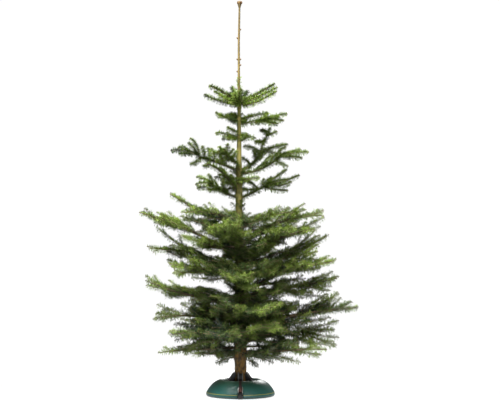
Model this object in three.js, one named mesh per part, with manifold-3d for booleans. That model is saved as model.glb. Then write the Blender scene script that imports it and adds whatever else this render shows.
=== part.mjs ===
// A cut fir about two metres tall, undecorated, held in a round plastic stand with five claws.
// Units are millimetres, +Z is up. The origin is the centre of the stand's flat underside.
// +X is the tree's right, -Y is its near side, where the stand's pedal is.
import * as THREE from "three";
import { mergeVertices } from "three/addons/utils/BufferGeometryUtils.js";
import Module from "manifold-3d";

const wasm = await Module();
wasm.setup();

// ---------------------------------------------------------------- driving dimensions

const GAP = 0.3;
const UP = new THREE.Vector3(0, 0, 1);

// The stand: a domed shell round a flat-floored basin, with a spike plate under the trunk.
const SHELL_FOOT_RADIUS = 160;
const SHELL_RADIUS = 172;
const SHELL_BULGE_HEIGHT = 10;
const SHELL_HEIGHT = 83;
const SHELL_CREST_RADIUS = 103;
const SHELL_MOUTH_RADIUS = 78;
const SHELL_WALL = 4;
const STAND_FACETS = 40;
const BASIN_FLOOR_RADIUS = 147;
const BASIN_FLOOR = 6;
const BASIN_WALL_RADIUS = 107;
const BASIN_WALL = 4;
const BASIN_WALL_HEIGHT = 74.2;
const PLATE_RADIUS = 36;
const PLATE_HEIGHT = 12;

// The claws lean in from their bearings to the trunk.
const CLAW_COUNT = 5;
const FIRST_CLAW_AZIMUTH = 270;
const CLAW_WIDTH = 26;
const CLAW_TOP = 119;
const BEARING = { inner: 62, width: 28, bottom: 41, top: 53 };

// The pedal comes out of a slot in the shell's near side, under a bright bracket.
const SLOT = { width: 27, height: 60, inner: 126, outer: 185 };
const PEDAL = { width: 24, inner: 147.6, outer: 196, bottom: 2, top: 31 };

// The trunk is ten-sided, so that each claw bears on the middle of a flat.
const TRUNK_SIDES = 10;
const TRUNK_FOOT = PLATE_HEIGHT + GAP;
const TREE_HEIGHT = 1976;

// Trunk diameter and sideways lean at each height, up to the bud at the leader's tip.
const TRUNK_PROFILE = [
  { height: TRUNK_FOOT, diameter: 61, lean: 0 },
  { height: 145, diameter: 58, lean: 0 },
  { height: 485, diameter: 48, lean: -3 },
  { height: 888, diameter: 36, lean: -7 },
  { height: 1125, diameter: 28, lean: -7 },
  { height: 1328, diameter: 20.5, lean: -7 },
  { height: 1469, diameter: 15, lean: -7.5 },
  { height: 1505, diameter: 10, lean: -8 },
  { height: 1768, diameter: 8.5, lean: -8.5 },
  { height: 1940, diameter: 7, lean: -5 },
  { height: 1953, diameter: 18, lean: -5 },
  { height: 1967, diameter: 20, lean: -5 },
  { height: TREE_HEIGHT, diameter: 7, lean: -5 },
];

// A foliage mass is a pad along its bough: a wedge near the trunk, widest past the middle, with
// a pair of forward-pointing fingers for each pair of side shoots.
const SECTOR = THREE.MathUtils.degToRad(31);
const ROOT_SPREAD = 7;
const WIDEST = 0.55;
const TIP_SHARE = 0.16;
const NOTCH_SHARE = 0.5;
const SWEEP = 0.75;
const CREST_SHARE = 0.45;
const LEAST_THICKNESS = 7;

// The whorls from the top down. Each bough leaves the trunk at its whorl's node height and heads
// for an azimuth (0 is +X, 90 is away) to a tip at a given reach and height. `arch` lifts its
// middle, `bare` is the share of it that shows as a bare limb, `half` is the mass's half-width,
// `thick` its half-thickness, `cup` and `roll` tilt its two sides up and about the bough, and
// `fingers` counts the pairs of side shoots.
const WHORLS = [
  {
    name: "w1", node: 1461, half: 52, thick: 13, cup: 0.1, fingers: 2, boughs: [
      { side: "left", azimuth: 183, reach: 172, tip: 1523, roll: -0.7, arch: -4 },
      { side: "right", azimuth: 3, reach: 190, tip: 1545, roll: 0.75, arch: -12, node: 1455 },
      { side: "near", azimuth: 250, reach: 130, tip: 1519 },
      { side: "far", azimuth: 82, reach: 160, tip: 1530 },
    ],
  },
  {
    name: "w2", node: 1369, half: 44, thick: 13, cup: 0.15, fingers: 2, boughs: [
      { side: "left", azimuth: 192, reach: 124, tip: 1405, roll: 0.2 },
      { side: "right", azimuth: 342, reach: 234, tip: 1377, node: 1353, half: 66, thick: 27, cup: 0.3 },
      { side: "far", azimuth: 100, reach: 170, tip: 1425 },
    ],
  },
  {
    name: "w3", node: 1303, half: 38, thick: 12, fingers: 1, boughs: [
      { side: "left", azimuth: 188, reach: 118, tip: 1317, roll: 0.35 },
    ],
  },
  {
    name: "w4", node: 1124, half: 92, thick: 20, cup: 0.35, fingers: 3, boughs: [
      { side: "left", azimuth: 178, reach: 342, tip: 1227, bare: 0.36, roll: -0.5, thick: 24 },
      { side: "right", azimuth: 350, reach: 342, tip: 1215, bare: 0.4, cup: 0.1, roll: 0.35 },
      { side: "back_right", azimuth: 58, reach: 290, tip: 1261, half: 84, thick: 32 },
      { side: "near", azimuth: 240, reach: 205, tip: 1237, half: 100, thick: 32, node: 1143 },
    ],
  },
  {
    name: "w5", node: 993, half: 84, thick: 17, cup: 0.2, fingers: 3, boughs: [
      { side: "left", azimuth: 190, reach: 232, tip: 1083, bare: 0.42, roll: 0.25, thick: 22 },
      { side: "right", azimuth: 8, reach: 304, tip: 1083, bare: 0.3, roll: 0.45, arch: -6, cup: 0.3 },
      { side: "near_left", azimuth: 205, reach: 170, tip: 1153, node: 1027, half: 26, fingers: 1 },
      { side: "far", azimuth: 100, reach: 300, tip: 1095, half: 92 },
    ],
  },
  {
    name: "w6", node: 857, half: 104, thick: 24, cup: 0.15, fingers: 4, boughs: [
      { side: "left", azimuth: 172, reach: 350, tip: 1008, half: 54, arch: -18, cup: 0, thick: 18 },
      { side: "right", azimuth: 322, reach: 315, tip: 915 },
      { side: "near_left", azimuth: 214, reach: 345, tip: 917, arch: 14, node: 873, thick: 30 },
      { side: "far", azimuth: 96, reach: 380, tip: 917 },
    ],
  },
  {
    name: "w7", node: 690, half: 132, thick: 29, cup: 0.06, fingers: 4, boughs: [
      { side: "left", azimuth: 180, reach: 500, tip: 911, bare: 0.36, arch: 26, roll: -0.4 },
      { side: "right", azimuth: 358, reach: 418, tip: 901, arch: 48, roll: 0.2, node: 745, thick: 40 },
      { side: "near", azimuth: 256, reach: 400, tip: 863, arch: 20, node: 737 },
      { side: "near_right", azimuth: 321, reach: 468, tip: 835, arch: 26, thick: 32 },
      { side: "far", azimuth: 108, reach: 470, tip: 865, arch: 25 },
    ],
  },
  {
    name: "w8", node: 581, half: 142, thick: 31, cup: 0.04, fingers: 4, boughs: [
      { side: "left", azimuth: 168, reach: 464, tip: 739, arch: 40, node: 601, thick: 40, half: 112 },
      { side: "right", azimuth: 8, reach: 440, tip: 791, roll: 0.22 },
      { side: "near_left", azimuth: 216, reach: 418, tip: 667, arch: 10, roll: 0.2 },
      { side: "near_right", azimuth: 331, reach: 512, tip: 675, arch: 12, roll: 0.3 },
      { side: "far", azimuth: 72, reach: 500, tip: 735, arch: 20 },
    ],
  },
  {
    name: "w9", node: 463, half: 150, thick: 30, cup: 0.03, fingers: 4, boughs: [
      { side: "left", azimuth: 186, reach: 470, tip: 577, arch: -28, roll: 0.12, node: 483, thick: 34 },
      { side: "right", azimuth: 4, reach: 484, tip: 579, arch: 14, roll: 0.42, node: 483, thick: 42 },
      { side: "near", azimuth: 268, reach: 470, tip: 619, arch: 24, node: 485 },
      { side: "far_left", azimuth: 136, reach: 480, tip: 493, node: 493, thick: 34 },
    ],
  },
  {
    name: "w10", node: 351, half: 168, thick: 32, cup: 0.02, fingers: 5, boughs: [
      { side: "left", azimuth: 190, reach: 430, tip: 397, arch: 22, roll: 0.36, node: 351, thick: 44 },
      { side: "right", azimuth: 356, reach: 588, tip: 445, arch: 14, roll: 0.24, node: 355, thick: 48 },
      { side: "near", azimuth: 280, reach: 490, tip: 455, arch: 26 },
      { side: "far", azimuth: 84, reach: 540, tip: 455, arch: 14 },
    ],
  },
  {
    name: "w11", node: 241, half: 156, thick: 29, cup: 0.02, fingers: 4, boughs: [
      { side: "left", azimuth: 177, reach: 412, tip: 215, bare: 0.36, half: 90, thick: 20 },
      { side: "right", azimuth: 10, reach: 484, tip: 319, arch: 20, roll: 0.3, node: 269, thick: 44 },
      { side: "near", azimuth: 256, reach: 450, tip: 333, arch: 24, node: 257 },
      { side: "near_right", azimuth: 338, reach: 462, tip: 249, node: 215, half: 124, thick: 36 },
      { side: "near_left", azimuth: 212, reach: 402, tip: 315, arch: 26, node: 263, roll: 0.2, thick: 42 },
      { side: "far", azimuth: 122, reach: 470, tip: 175, arch: -4, node: 221 },
    ],
  },
];

// A limb's radius where it leaves the trunk and where it enters its mass.
const LIMB_SIDES = 8;
const LIMB_STATIONS = 5;
const LIMB_ROOT_SHARE = 0.021;
const LIMB_TIP_SHARE = 0.55;

// ---------------------------------------------------------------- materials

const material = (color, roughness, metalness = 0) =>
  new THREE.MeshStandardMaterial({ color, roughness, metalness, flatShading: true });

const shellGreen = material(0x24604f, 0.4);
const basinGreen = material(0x1c4a3e, 0.55);
const blackPlastic = material(0x17181b, 0.5);
const brightMetal = material(0xa9aba8, 0.35, 0.8);
const bark = material(0x6b5a33, 0.9);
const limbBark = material(0x7c6b3e, 0.9);
const foliageColors = [0x6f8440, 0x5c7436, 0x4a6330, 0x3d542b];
const foliageMaterials = foliageColors.map((color) => material(color, 0.85));

// ---------------------------------------------------------------- geometry helpers

// Small repeatable unevenness: each seed gives its own run of numbers from -1 to 1.
function uneven(seed) {
  let state = seed * 2654435761 % 4294967296;
  return () => {
    state = (state * 1664525 + 1013904223) % 4294967296;
    return state / 2147483648 - 1;
  };
}

// Any closed geometry as a solid: shared corners merged, flat triangles dropped, faces outward.
function solidOf(geometry) {
  const bare = new THREE.BufferGeometry();
  bare.setAttribute("position", geometry.getAttribute("position"));
  bare.setIndex(geometry.getIndex());
  const merged = mergeVertices(bare, 1e-3);
  const index = merged.getIndex().array;
  const place = merged.getAttribute("position");
  const corner = [new THREE.Vector3(), new THREE.Vector3(), new THREE.Vector3()];
  const triangles = [];
  let volume = 0;
  for (let i = 0; i < index.length; i += 3) {
    const [a, b, c] = [index[i], index[i + 1], index[i + 2]];
    if (a === b || b === c || c === a) continue;
    triangles.push(a, b, c);
    corner[0].fromBufferAttribute(place, a);
    corner[1].fromBufferAttribute(place, b);
    corner[2].fromBufferAttribute(place, c);
    volume += corner[0].dot(corner[1].cross(corner[2]));
  }
  if (volume < 0) triangles.reverse();
  return new wasm.Manifold(new wasm.Mesh({
    numProp: 3,
    vertProperties: Float32Array.from(place.array),
    triVerts: Uint32Array.from(triangles),
  }));
}

function geometryOf(solid) {
  const mesh = solid.getMesh();
  const geometry = new THREE.BufferGeometry();
  geometry.setAttribute("position", new THREE.BufferAttribute(mesh.vertProperties, 3));
  geometry.setIndex(new THREE.BufferAttribute(mesh.triVerts, 1));
  geometry.computeVertexNormals();
  return geometry;
}

// The largest single body of a solid.
function mainBody(solid) {
  const bodies = solid.decompose();
  return bodies.reduce((best, body) => (body.volume() > best.volume() ? body : best));
}

// A closed skin over a row of rings that all have the same number of points.
function loft(rings) {
  const count = rings[0].length;
  const points = rings.flat();
  const triangles = [];
  for (let ring = 0; ring + 1 < rings.length; ring += 1) {
    for (let i = 0; i < count; i += 1) {
      const a = ring * count + i;
      const b = ring * count + (i + 1) % count;
      triangles.push(a, b, b + count, a, b + count, a + count);
    }
  }
  const last = (rings.length - 1) * count;
  for (let i = 1; i + 1 < count; i += 1) {
    triangles.push(0, i + 1, i, last, last + i, last + i + 1);
  }
  const geometry = new THREE.BufferGeometry().setFromPoints(points);
  geometry.setIndex(triangles);
  return solidOf(geometry);
}

function polar(radius, azimuth, height) {
  return new THREE.Vector3(radius * Math.cos(azimuth), radius * Math.sin(azimuth), height);
}

function revolve(profile) {
  const points = profile.map(([radius, height]) => new THREE.Vector2(radius, height));
  const geometry = new THREE.LatheGeometry(points, STAND_FACETS);
  geometry.rotateX(Math.PI / 2);
  return solidOf(geometry);
}

// A plate of even width with a side outline of radius and height, standing on the near-far plane
// through the axis: its outline's radius runs along +X.
function upright(outline, width) {
  const shape = new THREE.Shape(outline.map(([radius, height]) => new THREE.Vector2(radius, height)));
  const geometry = new THREE.ExtrudeGeometry(shape, { depth: width, bevelEnabled: false });
  geometry.rotateX(Math.PI / 2);
  geometry.translate(0, width / 2, 0);
  return geometry;
}

function block(inner, outer, width, bottom, top) {
  return upright([[inner, bottom], [outer, bottom], [outer, top], [inner, top]], width);
}

function turned(geometry, degrees) {
  return geometry.clone().rotateZ(THREE.MathUtils.degToRad(degrees));
}

// ---------------------------------------------------------------- trunk

function trunkAt(height) {
  const profile = TRUNK_PROFILE;
  let i = 0;
  while (i + 2 < profile.length && profile[i + 1].height < height) i += 1;
  const [low, high] = [profile[i], profile[i + 1]];
  const share = THREE.MathUtils.clamp((height - low.height) / (high.height - low.height), 0, 1);
  return {
    radius: THREE.MathUtils.lerp(low.diameter, high.diameter, share) / 2,
    lean: THREE.MathUtils.lerp(low.lean, high.lean, share),
  };
}

// The ten-sided trunk; `grown` widens it all round for cutting what surrounds it.
function trunkSolid(grown = 0) {
  const rings = TRUNK_PROFILE.map(({ height, diameter, lean }) => {
    const radius = (diameter / 2 + grown) / Math.cos(Math.PI / TRUNK_SIDES);
    const ring = [];
    for (let i = 0; i < TRUNK_SIDES; i += 1) {
      const point = polar(radius, (2 * Math.PI * i) / TRUNK_SIDES, height);
      ring.push(point.setX(point.x + lean));
    }
    return ring;
  });
  return loft(rings);
}

// ---------------------------------------------------------------- boughs and foliage

// Every bough as one flat record: the whorl's values, overruled by its own.
function listBoughs() {
  const usual = { arch: 0, bare: 0, roll: 0, cup: 0.05 };
  const list = [];
  WHORLS.forEach(({ boughs, ...whorl }, level) => {
    boughs.forEach((own) => {
      list.push({ ...usual, ...whorl, ...own, level, seed: list.length + 11 });
    });
  });
  return list;
}

// The bough's line: share 0 is on the trunk's axis, share 1 at the tip.
function boughPoint(bough, share) {
  const azimuth = THREE.MathUtils.degToRad(bough.azimuth);
  const height = THREE.MathUtils.lerp(bough.node, bough.tip, share);
  const point = polar(bough.reach * share, azimuth, height + 4 * bough.arch * share * (1 - share));
  return point.setX(point.x + trunkAt(bough.node).lean);
}

// One tapering limb from inside the trunk to where it enters its mass.
function limbSolid(bough, grown = 0) {
  const root = bough.reach * LIMB_ROOT_SHARE;
  const side = boughSide(bough);
  const rings = [];
  for (let i = 0; i < LIMB_STATIONS; i += 1) {
    const along = i / (LIMB_STATIONS - 1);
    const share = along * bough.bare;
    const centre = boughPoint(bough, share);
    const ahead = boughPoint(bough, share + 0.01).sub(centre).normalize();
    const over = new THREE.Vector3().crossVectors(ahead, side).normalize();
    const radius = root * THREE.MathUtils.lerp(1, LIMB_TIP_SHARE, along) + grown;
    const ring = [];
    for (let k = 0; k < LIMB_SIDES; k += 1) {
      const turn = (2 * Math.PI * k) / LIMB_SIDES;
      ring.push(centre.clone()
        .addScaledVector(side, radius * Math.cos(turn))
        .addScaledVector(over, radius * Math.sin(turn)));
    }
    rings.push(ring);
  }
  return loft(rings);
}

function boughSide(bough) {
  const azimuth = THREE.MathUtils.degToRad(bough.azimuth);
  return new THREE.Vector3(-Math.sin(azimuth), Math.cos(azimuth), 0);
}

// Half-width of the mass at a share of the bough: a wedge, then a bulge that closes on the tip.
function spreadAt(bough, share) {
  const wedge = Math.max(ROOT_SPREAD, bough.reach * share * Math.tan(SECTOR));
  const past = Math.max(0, share - WIDEST) / (1 - WIDEST);
  const bulge = bough.half * (1 - (1 - TIP_SHARE) * past * past);
  return Math.min(wedge, bulge);
}

function thicknessAt(bough, share) {
  const rise = Math.min(1, 0.45 + 1.4 * share);
  const fall = 1 - 0.65 * Math.max(0, share - 0.5) * 2;
  return Math.max(LEAST_THICKNESS, bough.thick * rise * fall);
}

// One closed, uneven mass of needles and twigs along the outer part of a bough.
function foliageSolid(bough, grown = 0) {
  const vary = uneven(bough.seed);
  const side = boughSide(bough);
  const stations = 2 * bough.fingers + 2;
  const start = Math.max(0, bough.bare - 0.06);
  const rings = [];
  for (let i = 0; i <= stations; i += 1) {
    const share = THREE.MathUtils.lerp(start, 0.985, i / stations);
    const finger = i % 2 === 1 ? 1 : NOTCH_SHARE;
    const spread = spreadAt(bough, share) * finger;
    const thickness = thicknessAt(bough, share) * (1 + 0.18 * vary()) + grown;
    const lift = 0.25 * bough.thick * vary() * Math.min(1, i / 3);
    const sweep = i === 0 ? 0 : SWEEP;
    const place = (across, above) => {
      const ahead = Math.min(1, share + (sweep * Math.abs(across)) / bough.reach);
      const tilt = bough.cup * Math.abs(across) + bough.roll * across;
      return boughPoint(bough, ahead)
        .addScaledVector(side, across)
        .addScaledVector(UP, tilt + lift + above);
    };
    const right = -(spread * (1 + 0.16 * vary()) + grown);
    const left = spread * (1 + 0.16 * vary()) + grown;
    rings.push([
      place(right, 0),
      place(right * CREST_SHARE, -thickness),
      place(left * CREST_SHARE, -thickness),
      place(left, 0),
      place(left * CREST_SHARE, thickness),
      place(right * CREST_SHARE, thickness),
    ]);
  }
  return loft(rings);
}

// ---------------------------------------------------------------- stand

function shellSolid() {
  const outside = [
    [SHELL_FOOT_RADIUS, 0],
    [SHELL_RADIUS - 3.5, 3.5],
    [SHELL_RADIUS, SHELL_BULGE_HEIGHT],
    [SHELL_RADIUS - 4, 24],
    [SHELL_RADIUS - 16, 41],
    [SHELL_RADIUS - 36, 60],
    [SHELL_RADIUS - 57, 76],
    [SHELL_CREST_RADIUS, SHELL_HEIGHT],
    [SHELL_MOUTH_RADIUS + 8, SHELL_HEIGHT - 4],
    [SHELL_MOUTH_RADIUS, SHELL_HEIGHT - 14],
  ];
  const inside = [
    [SHELL_MOUTH_RADIUS + SHELL_WALL, SHELL_HEIGHT - 16],
    [SHELL_CREST_RADIUS, SHELL_HEIGHT - SHELL_WALL],
    [SHELL_RADIUS - 60, 76 - SHELL_WALL],
    [SHELL_RADIUS - 20, 37],
    [SHELL_RADIUS - SHELL_WALL, SHELL_BULGE_HEIGHT],
    [SHELL_FOOT_RADIUS - SHELL_WALL, 3],
    [SHELL_FOOT_RADIUS - SHELL_WALL, 0],
  ];
  const profile = [...outside, ...inside, outside[0]];
  const slot = solidOf(block(SLOT.inner, SLOT.outer, SLOT.width, -1, SLOT.height));
  return revolve(profile).subtract(slot.rotate([0, 0, FIRST_CLAW_AZIMUTH]));
}

// Basin floor, spike plate, inner wall and the bearings that carry the claws.
function basinSolid() {
  const wallInside = BASIN_WALL_RADIUS - BASIN_WALL;
  let basin = revolve([
    [0, 0],
    [BASIN_FLOOR_RADIUS, 0],
    [BASIN_FLOOR_RADIUS, BASIN_FLOOR],
    [BASIN_WALL_RADIUS, BASIN_FLOOR],
    [BASIN_WALL_RADIUS, BASIN_WALL_HEIGHT],
    [wallInside, BASIN_WALL_HEIGHT],
    [wallInside, BASIN_FLOOR],
    [PLATE_RADIUS, BASIN_FLOOR],
    [PLATE_RADIUS, PLATE_HEIGHT],
    [0, PLATE_HEIGHT],
  ]);
  const { inner, width, bottom, top } = BEARING;
  const bearing = solidOf(block(inner, wallInside + BASIN_WALL / 2, width, bottom, top));
  for (let i = 0; i < CLAW_COUNT; i += 1) {
    basin = basin.add(bearing.rotate([0, 0, clawAzimuth(i)]));
  }
  return basin;
}

function clawAzimuth(i) {
  return (FIRST_CLAW_AZIMUTH + (i * 360) / CLAW_COUNT) % 360;
}

// A claw: heel on its bearing, shoulder out under the shell's lip, toe flat against the trunk.
function clawGeometry() {
  const toe = trunkAt(CLAW_TOP - 24).radius + GAP;
  const heel = BEARING.top + GAP;
  return upright([
    [64, heel],
    [76, heel],
    [SHELL_MOUTH_RADIUS - 1.5, heel + 14],
    [66, heel + 25],
    [toe + 12, CLAW_TOP - 8],
    [toe + 5, CLAW_TOP],
    [toe, CLAW_TOP],
    [toe, CLAW_TOP - 24],
    [48, heel + 20],
  ], CLAW_WIDTH);
}

// The bracket stands on the basin's floor and fills the slot above the pedal.
function bracketGeometry() {
  const foot = BASIN_FLOOR + GAP;
  const overPedal = PEDAL.top + GAP;
  const outer = SHELL_RADIUS - 3;
  return upright([
    [BASIN_WALL_RADIUS + 14, foot],
    [BASIN_FLOOR_RADIUS - 4, foot],
    [BASIN_FLOOR_RADIUS - 4, overPedal],
    [outer - 3, overPedal],
    [outer - 10, 43],
    [outer - 22, SLOT.height - 6],
    [outer - 28, SLOT.height - 1],
    [BASIN_WALL_RADIUS + 24, SLOT.height - 4],
  ], SLOT.width - 1.4);
}

function pedalGeometry() {
  const { inner, outer, bottom, top, width } = PEDAL;
  return upright([
    [inner, bottom + 4],
    [inner + 6, bottom],
    [outer - 4, bottom],
    [outer, bottom + 5],
    [outer - 3, top - 8],
    [outer - 16, top],
    [inner, top],
  ], width);
}

// ---------------------------------------------------------------- the tree in its stand

const tree = new THREE.Group();

function addMesh(parent, name, geometry, look) {
  const mesh = new THREE.Mesh(geometry, look);
  mesh.name = name;
  parent.add(mesh);
  return mesh;
}

function addStand() {
  const stand = new THREE.Group();
  addMesh(stand, "stand_shell", geometryOf(shellSolid()), shellGreen);
  addMesh(stand, "stand_basin", geometryOf(basinSolid()), basinGreen);
  for (let i = 0; i < CLAW_COUNT; i += 1) {
    const claw = addMesh(stand, `stand_claw_${i + 1}`, clawGeometry(), blackPlastic);
    claw.rotation.z = THREE.MathUtils.degToRad(clawAzimuth(i));
  }
  const toNear = FIRST_CLAW_AZIMUTH;
  addMesh(stand, "stand_bracket", turned(bracketGeometry(), toNear), brightMetal);
  addMesh(stand, "stand_pedal", turned(pedalGeometry(), toNear), blackPlastic);
  tree.add(stand);
}

function overlaps(a, b) {
  const [p, q] = [a.boundingBox(), b.boundingBox()];
  return [0, 1, 2].every((axis) => p.min[axis] < q.max[axis] && q.min[axis] < p.max[axis]);
}

function addPlant() {
  addMesh(tree, "trunk", geometryOf(trunkSolid()), bark);
  const cutters = [trunkSolid(GAP)];
  const boughs = listBoughs();
  boughs.filter((bough) => bough.bare > 0).forEach((bough) => {
    const limb = mainBody(limbSolid(bough).subtract(cutters[0]));
    addMesh(tree, `bough_${bough.name}_${bough.side}`, geometryOf(limb), limbBark);
    cutters.push(limbSolid(bough, GAP));
  });
  boughs.forEach((bough) => {
    let mass = foliageSolid(bough);
    cutters.filter((cutter) => overlaps(cutter, mass)).forEach((cutter) => {
      if (cutter.intersect(mass).volume() > 0) mass = mass.subtract(cutter);
    });
    const look = foliageMaterials[bough.level % foliageMaterials.length];
    addMesh(tree, `foliage_${bough.name}_${bough.side}`, geometryOf(mainBody(mass)), look);
    cutters.push(foliageSolid(bough, GAP));
  });
}

addStand();
addPlant();

export default tree;
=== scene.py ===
"""The looks of a cut fir in a round green stand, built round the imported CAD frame.

Every foliage mass of the frame is replaced by a bough that grows along the middle of that mass:
a woody axis, side shoots in pairs, their own side shoots, buds, and needles in sprays. Boughs of
the open upper crown follow a table instead, and free shoots fill the crown and end at its tips.
The trunk gets a mesh with the bark's relief, the limbs get bark, and the stand gets its moulded
detail. Lengths are in metres unless a comment says millimetres, +Z is up, and the camera looks
along +Y.
"""

import math

import bpy
import bmesh
import numpy as np
from mathutils import Matrix, Vector, noise
from mathutils.bvhtree import BVHTree


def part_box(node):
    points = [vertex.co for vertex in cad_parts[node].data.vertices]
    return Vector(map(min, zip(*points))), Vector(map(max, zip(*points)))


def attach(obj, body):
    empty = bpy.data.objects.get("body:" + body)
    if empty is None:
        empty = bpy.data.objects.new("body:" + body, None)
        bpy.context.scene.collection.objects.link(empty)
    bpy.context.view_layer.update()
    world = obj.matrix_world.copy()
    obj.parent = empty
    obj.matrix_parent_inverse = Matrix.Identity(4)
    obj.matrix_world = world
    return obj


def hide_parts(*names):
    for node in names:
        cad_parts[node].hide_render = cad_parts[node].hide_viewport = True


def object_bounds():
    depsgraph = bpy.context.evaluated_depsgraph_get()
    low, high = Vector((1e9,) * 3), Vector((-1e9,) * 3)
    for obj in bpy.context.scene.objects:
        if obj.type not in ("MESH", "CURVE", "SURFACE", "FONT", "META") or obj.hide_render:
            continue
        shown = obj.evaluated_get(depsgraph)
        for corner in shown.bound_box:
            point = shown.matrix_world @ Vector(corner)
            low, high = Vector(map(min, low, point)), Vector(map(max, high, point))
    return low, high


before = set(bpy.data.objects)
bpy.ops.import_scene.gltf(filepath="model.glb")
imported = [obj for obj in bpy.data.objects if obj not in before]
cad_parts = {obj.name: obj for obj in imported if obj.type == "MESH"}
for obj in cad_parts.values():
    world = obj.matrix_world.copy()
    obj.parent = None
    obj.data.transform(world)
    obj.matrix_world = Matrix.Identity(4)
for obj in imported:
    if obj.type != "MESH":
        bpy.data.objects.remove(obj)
cad_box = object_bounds()

# ---------------------------------------------------------------- named sizes

SEED = 23
MM = 0.001

# The view: level, from the near side, about as far off as a studio allows.
CAMERA_DISTANCE = 8.7
CAMERA_ASIDE = 0.0475
CAMERA_HEIGHT = 0.9785
SENSOR_WIDTH = 36.0
FIELD_WIDTH = 2.5

# The crown's whorls, counted from the top: all, the open ones, and the lightest.
WHORLS = 11
OPEN_WHORLS = 5
TOP_WHORLS = 3

# A year's length of wood on a bough's axis and on its side shoots.
AXIS_YEAR = 0.092
SIDE_YEAR = 0.066
# Side shoots fork off at an angle, with a spread, and bend forward along their length.
FORK_ANGLE = math.radians(50)
FORK_SPREAD = (0.8, 1.1)
FORWARD_TURN = math.radians(-14)
# Runners keep close to the axis: how many at a whorl, their angle in degrees, their bend, their
# share of what is left of the axis, and the layer that they run on.
RUNNERS = 2
RUNNER_ANGLE = (9, 27)
RUNNER_TURN = math.radians(-6)
RUNNER_REACH = (0.55, 0.97)
RUNNER_LIFT = (0.45, 0.98)
# How far other shoots reach: a share of what is left of their parent and a least length, and the
# spread of that for those of side shoots.
WHORL_REACH = (0.80, 0.045)
BETWEEN_REACH = (0.35, 0.04)
SIDE_REACH = (0.72, 0.022)
REACH_SPREAD = (0.75, 1.1)
GOLDEN_ANGLE = math.radians(137.5)
# The radius at a tip, the twig's on a bough's axis, and how much more each kind of shoot has at
# its foot for a metre of length.
TIP_RADIUS = 0.0011
AXIS_RADII = (0.002, 0.0016)
BOUGH_TAPER = 0.0155
UPPER_TAPER = 0.016
CORE_TAPER = 0.014
SIDE_TAPER = 0.012
FREE_TAPER = 0.010
# The steps between a line's points, on an axis and on other shoots, and in the search for a
# mass's edge; the shortest shoot.
AXIS_STEP = 0.012
POINT_STEP = 0.016
MARCH = 0.008
LEAST_SHOOT = 0.026
# A side shoot settles on a layer of its mass within a run, by a share of the way at each step.
# From a share of its length on it leaves that layer, wholly so after a further share, at a slope
# in a range.
SETTLE_RUN = 0.05
SETTLE_SHARE = 0.65
FREE_SHARE = 0.45
FREE_EASE = 0.25
FLICK = (-0.20, 0.75)
# Side shoots stop at this share of the room left in their mass, so that the fingers stand clear.
ROOM_SHARE = (0.72, 0.92)

# Small boughs between the whorls round the trunk: how many, from height to height, and the share
# of the crown's reach that they grow to.
CORE_BOUGHS = 88
CORE_BAND = (0.255, 0.845)
CORE_REACH = (0.40, 0.66)
# The darkness score of a spray: for each year of age, then painted shade for the low whorls and
# painted light, a lighter tone, for the top ones.
AGE_SCORE = 0.9
LOW_SHADE_SCORE = 0.55
TOP_LIGHT_SCORE = -0.25
# As painted shade it grows within some reach of the trunk, and on near boughs in the shade of
# those above them.
INNER_SHADE_SCORE = 0.9
INNER_REACH = 0.30
SHADED_LEVEL = 8
SHADE_NEAR = 0.80
# How far a whole side shoot's sprays, and each single spray, are lighter or darker by chance.
MOOD = 0.75
SPRAY_SPREAD = 0.5
# A spray with a score under these is fresh, bright or mid, and above them dark.
SPRAY_STEPS = {"fresh": 0.35, "bright": 1.15, "mid": 2.1}
# Low drooping growth: (height on the trunk, azimuth, length, slope, bend).
LOW_BOUGHS = [
    (0.340, 185, 0.30, 0.12, -0.40), (0.310, 168, 0.34, 0.05, -0.35),
    (0.285, 196, 0.30, 0.00, -0.30), (0.330, 355, 0.34, 0.18, -0.38),
    (0.300, 10, 0.36, 0.12, -0.30), (0.275, 349, 0.30, 0.05, -0.30),
    (0.245, 3, 0.28, 0.05, -0.35), (0.217, 170, 0.27, 0.05, -0.75),
    (0.199, 186, 0.16, -0.15, -0.30), (0.211, 205, 0.20, 0.00, -0.55),
    (0.203, 352, 0.17, -0.05, -0.35), (0.191, 20, 0.10, -0.30, -0.20),
    (0.217, 335, 0.24, 0.10, -0.55), (0.207, 55, 0.20, 0.00, -0.40),
    (0.213, 100, 0.22, 0.00, -0.40), (0.205, 140, 0.20, 0.00, -0.45),
    (0.221, 245, 0.15, 0.15, -0.60), (0.213, 290, 0.16, 0.10, -0.60),
]
# Some of those shoots show the pale undersides of their needles.
PALE_SHARE = 0.15
# Fingers: long fresh shoots that give the crown's sides their free tips, and lobes on the near
# side. Where each ends, in millimetres: (along X, height), and for the lobes (along X, Y, height).
SIDE_FINGERS = [
    (-350, 1010), (-238, 951), (-277, 928), (-410, 919), (-498, 918), (-437, 884), (-422, 840),
    (-356, 789), (-462, 746), (-340, 754), (-302, 753), (-369, 675), (-343, 647), (-330, 617),
    (-238, 593), (-471, 596), (-458, 547), (-394, 512), (-292, 466), (-413, 455), (-418, 410),
    (-436, 378), (-355, 318),
    (249, 935), (249, 903), (405, 929), (416, 889), (392, 846), (367, 817), (437, 803), (364, 744),
    (376, 720), (478, 681), (460, 618), (489, 594), (483, 516), (452, 456), (547, 468), (585, 446),
    (452, 563), (437, 533), (350, 523), (405, 498), (425, 548), (330, 568), (400, 640), (340, 655),
    (489, 370), (459, 325), (489, 290), (473, 263), (471, 242), (399, 208), (321, 207), (292, 178),
]
NEAR_LOBES = [
    (-47, -330, 860), (-146, -310, 843), (40, -280, 830), (187, -300, 848), (-278, -250, 800),
    (-95, -380, 640), (-10, -390, 628), (52, -400, 562), (195, -380, 481), (100, -400, 371),
    (190, -380, 368),
]
# How far in front of or behind the trunk a finger may end, how long it should be in plan, and how
# short it may be.
FINGER_DEPTH = 0.13
FINGER_RUN = 0.19
LEAST_FINGER = 0.08
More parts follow.
